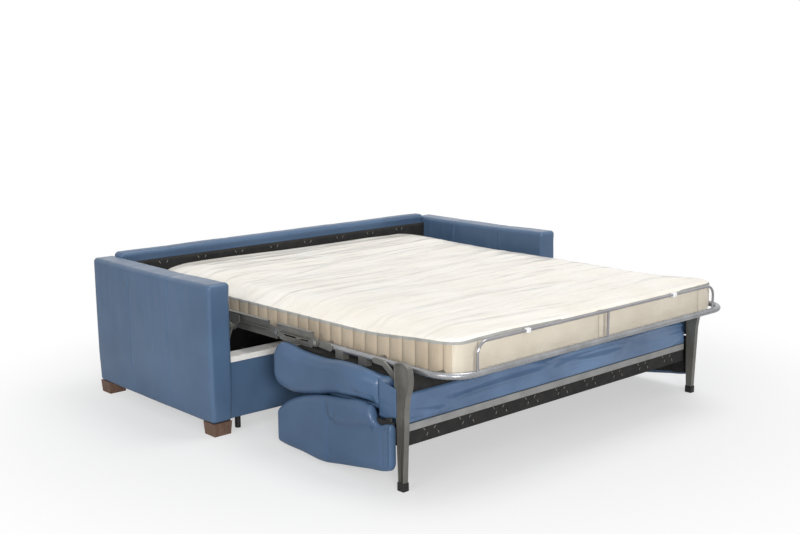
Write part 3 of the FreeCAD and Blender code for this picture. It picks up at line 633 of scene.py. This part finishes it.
def mattress_form(flat, low_end, high_end):
    """Any point of the mattress block, moved to the crowned and channelled mattress."""
    low = np.array((-MATTRESS_HALF, low_end, MATTRESS_LOW_Z))
    high = np.array((MATTRESS_HALF, high_end, MATTRESS_TOP))
    upper = rounded(flat, low, high, (EDGE_RADIUS, EDGE_RADIUS, RIM_RADIUS))
    lower = rounded(flat, low, high, (UNDER_RADIUS,) * 3)
    points = np.where((flat[:, 2] > (low[2] + high[2]) / 2)[:, None], upper, lower)
    inside = (flat[:, 1] > low_end + 0.03) & (flat[:, 1] < high_end - 0.03)
    points[:, 1] = np.where(inside, flat[:, 1], points[:, 1])
    to_side = MATTRESS_HALF - np.abs(flat[:, 0])
    to_foot = flat[:, 1] - low_end
    to_end = np.minimum(to_foot, high_end - flat[:, 1])
    up = smooth_step(flat[:, 2], MATTRESS_LOW_Z + 0.03, MATTRESS_HIGH_Z - 0.03)
    sink = SIDE_SINK * (1 - smooth_step(to_side, 0, 0.11)) * smooth_step(to_end, 0.0, 0.5)
    crown = CROWN * smooth_step(np.minimum(to_side, to_end), 0, 0.2)
    near_head = smooth_step(flat[:, 1], high_end - 0.7, high_end - 0.1)
    crown += HEAD_CROWN * near_head * smooth_step(to_side, 0.0, 0.15)
    plan = points * (1, 1, 0)
    slack = 0.005 * lattice_noise(plan, (0.6, 0.34, 1), 31) - 0.004
    slack += 0.0034 * creases(plan, (0.7, 0.10, 1), 33, 2.0)
    slack += 0.0016 * creases(plan + (0, 3, 0), (0.42, 0.05, 1), 34, 2.0)
    top = smooth_step(flat[:, 2], MATTRESS_HIGH_Z - 0.03, MATTRESS_HIGH_Z - 0.0095)
    points[:, 2] += up * (crown - sink) + top * slack * smooth_step(to_side, 0.0, 0.22)
    outer = np.maximum(1 - smooth_step(to_side, 0.004, 0.016), 1 - smooth_step(to_foot, 0.004, 0.05))
    droop = BORDER_DROOP * (1 - smooth_step(flat[:, 2], MATTRESS_LOW_Z, MATTRESS_LOW_Z + 0.07))
    points[:, 2] -= outer * droop
    border = smooth_step(flat[:, 2], MATTRESS_LOW_Z, MATTRESS_LOW_Z + 0.02) * (1 - top)
    side_tuft = np.abs(np.sin(np.pi * flat[:, 1] / CHANNEL)) ** 0.4 * TUFT_DEPTH - TUFT_BACK
    foot_tuft = np.abs(np.sin(np.pi * flat[:, 0] / END_PANEL)) ** 0.2 * TUFT_DEPTH - TUFT_BACK
    points[:, 0] += np.sign(flat[:, 0]) * border * (to_side < 1e-4) * side_tuft
    points[:, 1] -= border * (to_foot < 1e-4) * foot_tuft
    corner = np.exp(-((to_side / 0.12) ** 2) - (to_foot / 0.12) ** 2)
    corner *= flat[:, 2] > MATTRESS_LOW_Z + 0.01
    crinkle = 0.004 * corner * creases(points, (0.05, 0.05, 0.16), 35, 2.0)
    points[:, 1] -= crinkle * 0.7
    points[:, 0] += np.sign(flat[:, 0]) * crinkle * 0.7
    return round_plan(points, low_end, high_end)


def rows(low, high, pitch, fixed):
    """Even positions from low to high on whole steps of pitch, with every fixed one exactly on a row."""
    whole = np.arange(math.ceil(low / pitch), math.floor(high / pitch) + 1) * pitch
    kept = [v for v in whole if all(abs(v - f) > pitch * 0.45 for f in (*fixed, low, high))]
    return np.array(sorted({round(float(v), 6) for v in (*kept, *fixed, low, high)}))


class Lattice:
    """The whole mattress as one surface, so that its lengths meet without a change of shade."""

    def __init__(self, cuts):
        low_end, high_end = MATTRESS_ENDS
        arc = [EDGE_RADIUS * (1 - math.tan(math.pi / 16 * k)) for k in range(4)]
        edge = [MATTRESS_HALF - a for a in arc]
        xs = rows(-MATTRESS_HALF, MATTRESS_HALF, CHANNEL / 5, [*edge, *[-e for e in edge]])
        tips = [low_end + a for a in arc] + [high_end - a for a in arc]
        ys = rows(low_end, high_end, CHANNEL / 8, [*cuts, *tips])
        zs = lines(MATTRESS_LOW_Z, MATTRESS_TOP, 0.012, RIM_RADIUS)
        self.flat, self.quads = shell_of(xs, ys, zs)
        self.points = mattress_form(self.flat, low_end, high_end)
        self.normals = normals_of(self.points, self.quads)

    def length(self, name, y0, y1):
        """The faces between two rows, closed at its cut ends, with the whole mattress's shading."""
        middle = self.flat[:, 1][self.quads].mean(axis=1)
        quads = self.quads[(middle > y0 - 1e-6) & (middle < y1 + 1e-6)]
        used, quads_local = np.unique(quads, return_inverse=True)
        quads_local = quads_local.reshape(quads.shape)
        points, flat = self.points[used], self.flat[used]
        faces = [tuple(int(i) for i in q) for q in quads_local]
        caps = []
        for y, sign in ((y0, -1), (y1, 1)):
            if MATTRESS_ENDS[0] + 1e-6 < y < MATTRESS_ENDS[1] - 1e-6:
                rim = np.flatnonzero(np.abs(flat[:, 1] - y) < 1e-6)
                middle_z = (MATTRESS_LOW_Z + MATTRESS_HIGH_Z) / 2
                angle = np.arctan2((flat[rim, 2] - middle_z) * CAP_STRETCH, flat[rim, 0] * sign)
                caps.append((len(faces), sign))
                faces.append(tuple(int(i) for i in rim[np.argsort(-angle)]))
        mesh = bpy.data.meshes.new(name)
        mesh.from_pydata([tuple(p) for p in points], [], faces)
        for material in MATTRESS_FINISHES:
            mesh.materials.append(material)
        normals = self.normals[used]
        slots = []
        for q in quads_local:
            level = flat[q, 2].mean()
            if abs(normals[q, 2].mean()) >= 0.8 or level >= MATTRESS_TOP - 0.004:
                slots.append(TOP_SLOT)
            elif level > MATTRESS_HIGH_Z - PIPING_DEPTH:
                slots.append(PIPING_SLOT)
            # Side faces take the darker copy of the border cloth, as painted shade, and end faces the
            # lighter copy, as painted light.
            elif np.abs(flat[q, 0]).min() > MATTRESS_HALF - 1e-5:
                slots.append(SHADED_SIDE_SLOT)
            else:
                slots.append(LIT_END_SLOT)
        mesh.polygons.foreach_set("material_index", slots + [SHADED_SIDE_SLOT] * len(caps))
        mesh.polygons.foreach_set("use_smooth", [True] * len(faces))
        mesh.update()
        shading = [tuple(normals[i]) for q in quads_local for i in q]
        for index, sign in caps:
            shading += [(0.0, float(sign), 0.0)] * len(faces[index])
        mesh.normals_split_custom_set(shading)
        thing = bpy.data.objects.new(name, mesh)
        bpy.context.scene.collection.objects.link(thing)
        return thing


BEND_REACH = 0.16
FOAM_LOW = 0.435


def slides_flat(thing):
    """Puts a piece on the middle section, on a mesh of its own."""
    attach(thing, "middle")
    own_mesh(thing)


def mattress():
    """The mattress in five lengths, cut between the sections of the folding frame."""
    fold_y = joint_place("link_turn")[1]
    foot_y = joint_place("foot_turn")[1]
    link_middle = (fold_y + foot_y) / 2
    cuts = (foot_y - BEND_REACH, link_middle, fold_y + BEND_REACH, MIDDLE_HIGH.y)
    whole = Lattice(cuts)
    foot = whole.length("mattress_foot_end", MATTRESS_ENDS[0], cuts[0])
    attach(foot, "foot")
    lower = whole.length("mattress_fold_front", cuts[0], cuts[1])
    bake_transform(lower)
    upper = whole.length("mattress_fold_rear", cuts[1], cuts[2])
    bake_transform(upper)
    middle = whole.length("mattress_centre", cuts[2], cuts[3])
    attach(middle, "middle")
    head = whole.length("mattress_head_end", cuts[3], MATTRESS_ENDS[1])
    slides_flat(head)
    pad_low, pad_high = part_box("head_pad")
    pad_low.z = FOAM_LOW
    pad = upholstered("head_foam", pad_low, pad_high, 0.004, NO_SEAMS, FOAM, None, step=0.03)
    slides_flat(pad)
    dressed("head_pad")
    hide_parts("mattress_foot")
    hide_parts("mattress_fold")
    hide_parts("mattress_middle")
    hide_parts("mattress_head")


TIE_PLACES = (("left", -0.46), ("right", 0.43))


def film_ties():
    """Twists of packing film that hold the mattress's wrapper to the guard rail."""
    rail_low, rail_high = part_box("guard_rail")
    y = (rail_low.y + rail_high.y) / 2
    for side, x in TIE_PLACES:
        low = (x - 0.011, y - 0.009, rail_high.z - 0.014)
        high = (x + 0.011, y + 0.009, rail_high.z + 0.004)
        upholstered("film_tie_" + side, low, high, 0.004, NO_SEAMS, FILM, "foot", step=0.004)


# Cushions, whose places along Y are measured from the arms' front

SHIFT = ARM_FRONT


def curve_through(values, *points):
    """Heights at Y values on a smooth line through (y, z) points, with y from the arms' front."""
    ys = np.array([p[0] for p in points]) + SHIFT
    zs = np.array([p[1] for p in points])
    slopes = np.gradient(zs, ys)
    i = np.clip(np.searchsorted(ys, values) - 1, 0, len(ys) - 2)
    h = ys[i + 1] - ys[i]
    t = np.clip((values - ys[i]) / h, 0, 1)
    return (
        (2 * t**3 - 3 * t**2 + 1) * zs[i] + (t**3 - 2 * t**2 + t) * h * slopes[i]
        + (3 * t**2 - 2 * t**3) * zs[i + 1] + (t**3 - t**2) * h * slopes[i + 1]
    )


def cushion_block(low, high, radii, step):
    """A soft-edged block, with each point's height as a share from 0 at its bottom to 1 at its top."""
    axes = [lines(low[i], high[i], step, radii[i], (), 6) for i in range(3)]
    flat, quads = shell_of(*axes)
    points = rounded(flat, low, high, radii)
    share = (points[:, 2] - low[2]) / (high[2] - low[2])
    return points, share, quads


def dent(points, y0, z0, y1, z1, width, depth, fade=0.04):
    """Depth of a crease along a straight line in the side view, fading past both ends."""
    a = np.array((y0 + SHIFT, z0))
    run = np.array((y1 - y0, z1 - z0))
    length = np.hypot(*run)
    along = (points[:, 1:] - a) @ run / length
    across = (points[:, 1:] - a) @ np.array((-run[1], run[0])) / length
    ends = smooth_step(along, -fade, fade) * (1 - smooth_step(along, length - fade, length + fade))
    return -depth * np.exp(-(across / width) ** 2) * ends


LEG_SLOT_Y = -0.834 + SHIFT
LEG_SLOT_X = 0.847
SEAT_OVERHANG = 0.925
SEAT_MIDDLE = 0.8
SEAT_REAR = -0.238 + SHIFT
SEAT_BELLY = 0.012
REAR_RIM = 0.044
SIDE_SEAM = 0.86
SIDE_FOLDS = ((-0.86, 0.355), (-0.80, 0.345), (-0.735, 0.33), (-0.67, 0.35))


def seat_heights(x, y):
    """Bottom and top of the upside-down seat: level in the middle, with a rear rim and higher sides."""
    top = curve_through(y, (-0.90, 0.384), (-0.83, 0.385), (-0.6, 0.386), (-0.35, 0.386), (-0.25, 0.384))
    inside = 1 - smooth_step(np.abs(x), 0.766, 0.782)
    top += REAR_RIM * inside * smooth_step(y, -0.30 + SHIFT, -0.277 + SHIFT)
    lip = curve_through(
        y, (-0.90, 0.374), (-0.869, 0.378), (-0.783, 0.402), (-0.676, 0.412), (-0.514, 0.403),
        (-0.40, 0.408), (-0.33, 0.418), (-0.26, 0.414), (-0.24, 0.40),
    )
    bottom = curve_through(
        y, (-0.90, 0.300), (-0.867, 0.286), (-0.781, 0.296), (-0.68, 0.292), (-0.599, 0.286),
        (-0.50, 0.262), (-0.403, 0.243), (-0.336, 0.238), (-0.26, 0.256), (-0.24, 0.27),
    )
    side = smooth_step(np.abs(x), LEG_SLOT_X, 0.885)
    return bottom - SEAT_BELLY * np.cos(np.pi / 2 * x / SEAT_OVERHANG), top + (lip - top) * side


def seat_slack(points, share, normals):
    """How far the seat's leather stands out: dents, folds, wrinkles and a sewn line round its sides."""
    y = points[:, 1]
    sides = np.abs(normals[:, 0]) ** 2
    lower = np.clip(-normals[:, 2], 0, 1)
    end = np.clip(-normals[:, 1], 0, 1) ** 2
    side = 0.004 * lattice_noise(points, (0.3, 0.16, 0.12), 41)
    side += dent(points, -0.84, 0.305, -0.64, 0.335, 0.014, 0.006)
    for fold_y, height in SIDE_FOLDS:
        side += dent(points, fold_y, 0.30, fold_y + 0.012, height, 0.008, 0.0035, 0.02)
    near_foot = smooth_step(y, -0.5 + SHIFT, -0.75 + SHIFT)
    side += 0.0035 * creases(points, (0.2, 0.045, 0.16), 42, 3.5) * near_foot
    side += seam_dip(share - SIDE_SEAM, 0.022, 0.0022)
    under = 0.005 * lattice_noise(points, (0.34, 0.2, 1), 43)
    under += 0.003 * creases(points, (0.3, 0.09, 1), 44)
    loose = 1 - smooth_step(points[:, 2], 0.305, 0.325)
    front = 0.008 * loose * creases(points, (0.42, 1, 0.035), 45, 2.0)
    everywhere = 0.001 * lattice_noise(points, (0.05, 0.05, 0.05), 46)
    return sides * side + lower * under + end * front + everywhere


def seat_cover():
    """The seat, upside down: flat against its board, deep and round at its front edge."""
    low = (-SEAT_OVERHANG, SEAT_FRONT - 0.002, 0.0)
    high = (SEAT_OVERHANG, SEAT_REAR, 0.15)
    points, share, quads = cushion_block(low, high, (0.034, 0.036, 0.05), 0.0125)
    x, y = points[:, 0].copy(), points[:, 1]
    bottom, top = seat_heights(x, y)
    points[:, 2] = bottom + share * (top - bottom)
    widest = SEAT_OVERHANG - 0.024 * (1 - smooth_step(y, LEG_SLOT_Y - 0.004, LEG_SLOT_Y + 0.09))
    past_leg = smooth_step(y, LEG_SLOT_Y - 0.006, LEG_SLOT_Y + 0.006)
    limit = LEG_SLOT_X + (widest - LEG_SLOT_X) * past_leg
    outer = np.maximum(np.abs(x) - SEAT_MIDDLE, 0)
    narrow = SEAT_MIDDLE + outer * (limit - SEAT_MIDDLE) / (SEAT_OVERHANG - SEAT_MIDDLE)
    points[:, 0] = np.where(outer > 0, np.sign(x) * narrow, x)
    normals = normals_of(points, quads)
    points += normals * seat_slack(points, share, normals)[:, None]
    thing = piece("seat_cover", points, quads, SHADED_CUSHION_LEATHER, "foot")
    dressed("seat_cushion")


def seat_front_cloth():
    """Black cloth stapled over the board's front edge, above the leather at the bed's foot."""
    front, back = SEAT_FRONT - 0.007, SEAT_FRONT - 0.0045
    half = LEG_SLOT_X - 0.005
    points, quads = shell_of(lines(-half, half, 0.02), np.array([front, back]), lines(0.318, 0.398, 0.012))
    ripple = 0.003 * creases(points, (0.09, 1, 0.05), 23)
    points[:, 1] -= np.where(points[:, 1] < (front + back) / 2, ripple, 0)
    piece("seat_front_cloth", points, quads, LINING, "foot")


def seat_ends():
    """Loose leather from the seat's sides to the legs, folded where it turns down to the back."""
    outer, inner = -0.8932, -0.8897
    ys = lines(-0.921 + SHIFT, LEG_SLOT_Y + 0.004, 0.006)
    points, quads = shell_of(np.array((outer, inner)), ys, lines(0.0, 1.0, 0.05))
    y = points[:, 1] - SHIFT
    top = np.interp(y, (-0.921, -0.875, -0.83), (0.366, 0.374, 0.386))
    bottom = np.interp(y, (-0.921, -0.86, -0.83), (0.262, 0.250, 0.252))
    share = points[:, 2].copy()
    points[:, 2] = bottom + share * (top - bottom)
    tuck = creases(points, (1, 0.09, 0.022), 47, 1.6) * (1 - smooth_step(share, 0.35, 0.55))
    points[:, 0] += np.where(points[:, 0] < (outer + inner) / 2, 0.0025 * tuck, 0)
    left = piece("seat_end_left", points, quads, SHADED_CUSHION_LEATHER, "foot")
    mirrored_piece(left, "seat_end_right", "foot")


def slot_strip():
    """The padded strip between the middle of the back cushion and its left cheek."""
    low = (-CHEEK_INNER + 0.006, -0.824 + SHIFT, 0.0)
    high = (-LEG_SLOT_X, -0.298 + SHIFT, 0.1)
    points, share, quads = cushion_block(low, high, (0.003, 0.003, 0.03), 0.0125)
    y = points[:, 1] - SHIFT
    top = np.interp(y, (-0.824, -0.64, -0.50, -0.298), (0.289, 0.284, 0.274, 0.174))
    bottom = np.interp(y, (-0.824, -0.506, -0.31, -0.298), (0.276, 0.267, 0.158, 0.168))
    points[:, 2] = bottom + share * (top - bottom)
    return points, quads


def back_pad():
    """The middle of the back cushion, between the legs."""
    low = (-LEG_SLOT_X, BACK_PAD_LOW.y, 0.0)
    high = (LEG_SLOT_X, BACK_PAD_HIGH.y, 0.1)
    points, share, quads = cushion_block(low, high, (0.03, 0.03, 0.03), 0.0135)
    y = points[:, 1]
    top = curve_through(
        y, (-0.91, 0.262), (-0.86, 0.283), (-0.8, 0.289), (-0.64, 0.281), (-0.47, 0.252),
        (-0.37, 0.224), (-0.28, 0.178),
    )
    bottom = curve_through(y, (-0.91, 0.211), (-0.7, 0.188), (-0.5, 0.163), (-0.28, 0.138))
    points[:, 2] = bottom + share * (top - bottom)
    normals = normals_of(points, quads)
    up = np.clip(normals[:, 2], 0, 1)
    push = up * 0.004 * lattice_noise(points, (0.3, 0.2, 1), 51)
    push += up * 0.003 * creases(points, (0.35, 0.08, 1), 52)
    push += (1 - up) * 0.002 * creases(points, (0.3, 0.05, 0.05), 53)
    points += normals * push[:, None]
    strip, strip_quads = slot_strip()
    count = len(points)
    points = np.concatenate((points, strip, strip * (-1, 1, 1)))
    quads = np.concatenate((quads, strip_quads + count, strip_quads[:, ::-1] + count + len(strip)))
    thing = piece("back_pad", points, quads, SHADED_CUSHION_LEATHER, "backrest")
    dressed("back_cushion")


CHEEK_OUT = 0.924
CHEEK_ENDS = (-0.927 + SHIFT, -0.279 + SHIFT)
CHEEK_WELT = -0.886 + SHIFT
CHEEK_CREASE = ((-0.95, 0.238), (-0.846, 0.225), (-0.74, 0.196), (-0.639, 0.182), (-0.577, 0.201))
CHEEK_DENTS = (
    (-0.60, 0.205, -0.575, 0.25, 0.009, 0.010, 0.03),
    (-0.635, 0.195, -0.625, 0.235, 0.008, 0.007, 0.02),
    (-0.76, 0.212, -0.68, 0.24, 0.010, 0.004),
)


def cheek_slack(points, share):
    """How far the cheek's outer face stands out: a roll over a deep crease, dents and a welt."""
    y, z = points[:, 1], points[:, 2]
    along = np.clip((y - CHEEK_ENDS[0]) / (CHEEK_ENDS[1] - CHEEK_ENDS[0]), 0, 1)
    push = 0.004 * np.sin(np.pi * np.clip(share, 0, 1)) * np.sin(np.pi * along) ** 0.5
    push += 0.002 * lattice_noise(points, (1, 0.15, 0.12), 61)
    crease_y, crease_z = zip(*CHEEK_CREASE)
    crease = np.interp(y - SHIFT, crease_y, crease_z)
    roll = 0.005 * np.exp(-((z - crease - 0.032) / 0.02) ** 2)
    roll -= 0.007 * smooth_step(crease - z, -0.004, 0.012)
    roll += seam_dip(z - crease, 0.007, 0.013)
    push += roll * (1 - smooth_step(y - SHIFT, -0.60, -0.56))
    for place in CHEEK_DENTS:
        push += dent(points, *place)
    near_foot = smooth_step(y, -0.45 + SHIFT, -0.75 + SHIFT)
    push += 0.002 * creases(points, (1, 0.11, 0.05), 62, 4.0) * near_foot
    return push + seam_dip(y - CHEEK_WELT, 0.004, 0.004)


def cheek_pads():
    """The padded cheek beyond each leg: a roll above, and a flatter panel with a welt near the leg."""
    low = (-CHEEK_OUT, CHEEK_ENDS[0], 0.0)
    high = (-CHEEK_INNER, CHEEK_ENDS[1], 0.2)
    points, share, quads = cushion_block(low, high, (0.019, 0.008, 0.03), 0.0085)
    top = curve_through(
        points[:, 1], (-0.95, 0.247), (-0.90, 0.241), (-0.848, 0.233), (-0.836, 0.244), (-0.824, 0.282),
        (-0.80, 0.291), (-0.66, 0.284), (-0.503, 0.262), (-0.38, 0.225), (-0.31, 0.187), (-0.28, 0.162),
    )
    bottom = curve_through(
        points[:, 1], (-0.95, 0.090), (-0.90, 0.070), (-0.80, 0.053), (-0.66, 0.031), (-0.54, 0.014),
        (-0.42, 0.022), (-0.31, 0.026), (-0.28, 0.030),
    )
    points[:, 2] = bottom + share * (top - bottom)
    normals = normals_of(points, quads)
    outward = np.clip(-normals[:, 0], 0, 1) ** 2
    points += normals * (outward * cheek_slack(points, share))[:, None]
    left = piece("cheek_pad_left", points, quads, SHADED_CUSHION_LEATHER, "backrest")
    right = mirrored_piece(left, "cheek_pad_right", "backrest")
    for thing, side in ((left, "left"), (right, "right")):
        thing.data.materials.append(LINING)
        inner = [int(abs(p.center.x) < CHEEK_INNER + 0.004) for p in thing.data.polygons]
        thing.data.polygons.foreach_set("material_index", inner)
        dressed("back_cheek_" + side)


def cheek_end_cloths():
    """Black cloth on the low end of each cheek, where the leg stands."""
    ys = np.array((-0.922, -0.822)) + SHIFT
    points, quads = shell_of(np.array((-0.908, -0.9005)), ys, np.array((0.20, 0.247)))
    left = piece("cheek_end_cloth_left", points, quads, LINING, "backrest")
    right = mirrored_piece(left, "cheek_end_cloth_right", "backrest")
    for thing in (left, right):
        thing.data.polygons.foreach_set("use_smooth", [False] * len(quads))


GUSSET_TOP = 0.330
GUSSET_SAG = 0.0032


def end_gusset():
    """Wrinkled leather across the joint between the seat and the back, at the bed's foot."""
    half = LEG_SLOT_X - 0.006
    low = BAR_HIGH.z + 0.001
    y_top, y_low = SEAT_FRONT - 0.012, BAR_LOW.y + 0.004
    rows_z = np.linspace(low, GUSSET_TOP, 26)
    points, quads = shell_of(lines(-half, half, 0.011), np.array([0.0, 0.003]), rows_z)
    share = np.clip((points[:, 2] - low) / (GUSSET_TOP - low), 0, 1)
    slack = 0.016 * creases(points, (0.5, 1, 0.042), 71, 1.8)
    slack += 0.009 * creases(points, (0.22, 1, 0.024), 72, 2.0)
    loose = np.sin(np.pi * share)
    points[:, 1] += y_low + (y_top - y_low) * share + GUSSET_SAG * loose - slack * np.sqrt(loose)
    thing = piece("end_gusset_leather", points, quads, LIT_GUSSET_LEATHER)
    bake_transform(thing)
    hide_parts("end_gusset")


dress_cad_nodes()
sofa_arms()
back_cover()
rail_cover()
lining_sheet()
frame_staples()
mattress()
seat_cover()
seat_front_cloth()
seat_ends()
back_pad()
cheek_pads()
cheek_end_cloths()
end_gusset()
film_ties()


# Camera, floor and light

CAMERA_PLACE = Vector((-3.4428, -3.6320, 1.4751))
CAMERA_YAW = 0.7396
CAMERA_PITCH = 0.1774
CAMERA_ROLL = -0.0077
CAMERA_LENS = 51.547
SENSOR_WIDTH = 36.0
WHITE = (1, 1, 1, 1)
SKY_STRENGTH = 0.37
FLOOR_HALF = 40
SHADOW_REACH = 1.1
WHITE_FROM = 2.3
LIT_PLACE = Vector((0, 0, 0.3))


def photo_camera():
    data = bpy.data.cameras.new("photo_camera")
    data.lens = CAMERA_LENS
    data.sensor_width = SENSOR_WIDTH
    data.sensor_fit = "HORIZONTAL"
    data.clip_end = 100
    camera = bpy.data.objects.new("photo_camera", data)
    ahead = Vector((
        math.sin(CAMERA_YAW) * math.cos(CAMERA_PITCH),
        math.cos(CAMERA_YAW) * math.cos(CAMERA_PITCH),
        -math.sin(CAMERA_PITCH),
    ))
    level = Vector((math.cos(CAMERA_YAW), -math.sin(CAMERA_YAW), 0))
    upward = level.cross(ahead)
    right = level * math.cos(CAMERA_ROLL) + upward * math.sin(CAMERA_ROLL)
    up = -level * math.sin(CAMERA_ROLL) + upward * math.cos(CAMERA_ROLL)
    turn = Matrix((right, up, -ahead)).transposed().to_4x4()
    camera.matrix_world = Matrix.Translation(CAMERA_PLACE) @ turn
    bpy.context.scene.collection.objects.link(camera)
    bpy.context.scene.camera = camera


def merged(tree, operation, first, second):
    node = tree.nodes.new("ShaderNodeMath")
    node.operation = operation
    tree.links.new(first, node.inputs[0])
    tree.links.new(second, node.inputs[1])
    return node.outputs[0]


def seen_rays(tree, *others):
    """1 for what the camera sees, directly or through glass, or by another named kind of ray."""
    path = tree.nodes.new("ShaderNodeLightPath").outputs
    value = path["Is Camera Ray"]
    for kind in ("Is Transmission Ray", *others):
        value = merged(tree, "MAXIMUM", value, path[kind])
    return value


def mixed(tree, factor, shader, white, out):
    """Sends the shader to the output, and plain white where the factor is 1."""
    white.inputs["Color"].default_value = WHITE
    mix = tree.nodes.new("ShaderNodeMixShader")
    tree.links.new(factor, mix.inputs["Fac"])
    tree.links.new(shader.outputs[0], mix.inputs[1])
    tree.links.new(white.outputs[0], mix.inputs[2])
    tree.links.new(mix.outputs[0], out.inputs["Surface"])


def world_light():
    """Plain white when seen directly or in a reflection, and a weaker light on the object."""
    world = bpy.data.worlds.new("studio")
    world.use_nodes = True
    bpy.context.scene.world = world
    tree = world.node_tree
    sky = tree.nodes["Background"]
    sky.inputs["Color"].default_value = WHITE
    sky.inputs["Strength"].default_value = SKY_STRENGTH
    white = tree.nodes.new("ShaderNodeBackground")
    mixed(tree, seen_rays(tree, "Is Glossy Ray"), sky, white, tree.nodes["World Output"])


def floor():
    """A pale floor that keeps the shadow near the object and turns plain white further out."""
    mesh = bpy.data.meshes.new("floor")
    corners = [(x * FLOOR_HALF, y * FLOOR_HALF, 0) for x, y in ((-1, -1), (1, -1), (1, 1), (-1, 1))]
    mesh.from_pydata(corners, [], [(0, 1, 2, 3)])
    thing = bpy.data.objects.new("floor", mesh)
    bpy.context.scene.collection.objects.link(thing)
    material = bpy.data.materials.new("pale_floor")
    material.use_nodes = True
    tree = material.node_tree
    nodes, links = tree.nodes, tree.links
    shader = nodes["Principled BSDF"]
    shader.inputs["Base Color"].default_value = (0.86, 0.86, 0.86, 1)
    shader.inputs["Roughness"].default_value = 0.9
    shader.inputs["Specular IOR Level"].default_value = 0.0
    place = nodes.new("ShaderNodeTexCoord")
    length = nodes.new("ShaderNodeVectorMath")
    length.operation = "LENGTH"
    links.new(place.outputs["Object"], length.inputs[0])
    fade = nodes.new("ShaderNodeMapRange")
    fade.interpolation_type = "SMOOTHSTEP"
    for key, value in (("From Min", SHADOW_REACH), ("From Max", WHITE_FROM), ("To Min", 0.5)):
        fade.inputs[key].default_value = value
    links.new(length.outputs["Value"], fade.inputs["Value"])
    both = merged(tree, "MULTIPLY", fade.outputs["Result"], seen_rays(tree))
    mixed(tree, both, shader, nodes.new("ShaderNodeEmission"), nodes["Material Output"])
    mesh.materials.append(material)


def area_light(name, place, size, power):
    """A round lamp that looks at the middle of the object."""
    data = bpy.data.lights.new(name, "AREA")
    data.shape = "DISK"
    data.size = size
    data.energy = power
    lamp = bpy.data.objects.new(name, data)
    lamp.location = place
    lamp.rotation_euler = (LIT_PLACE - Vector(place)).to_track_quat("-Z", "Y").to_euler()
    bpy.context.scene.collection.objects.link(lamp)


photo_camera()
world_light()
floor()
area_light("key_light", place=(1.2, -0.8, 5.6), size=3.0, power=125)
area_light("front_light", place=(-5.4, -7.8, 2.7), size=2.2, power=460)
area_light("left_fill", place=(-8.0, -2.0, 3.6), size=4.0, power=135)
bpy.context.scene.view_settings.view_transform = "Standard"
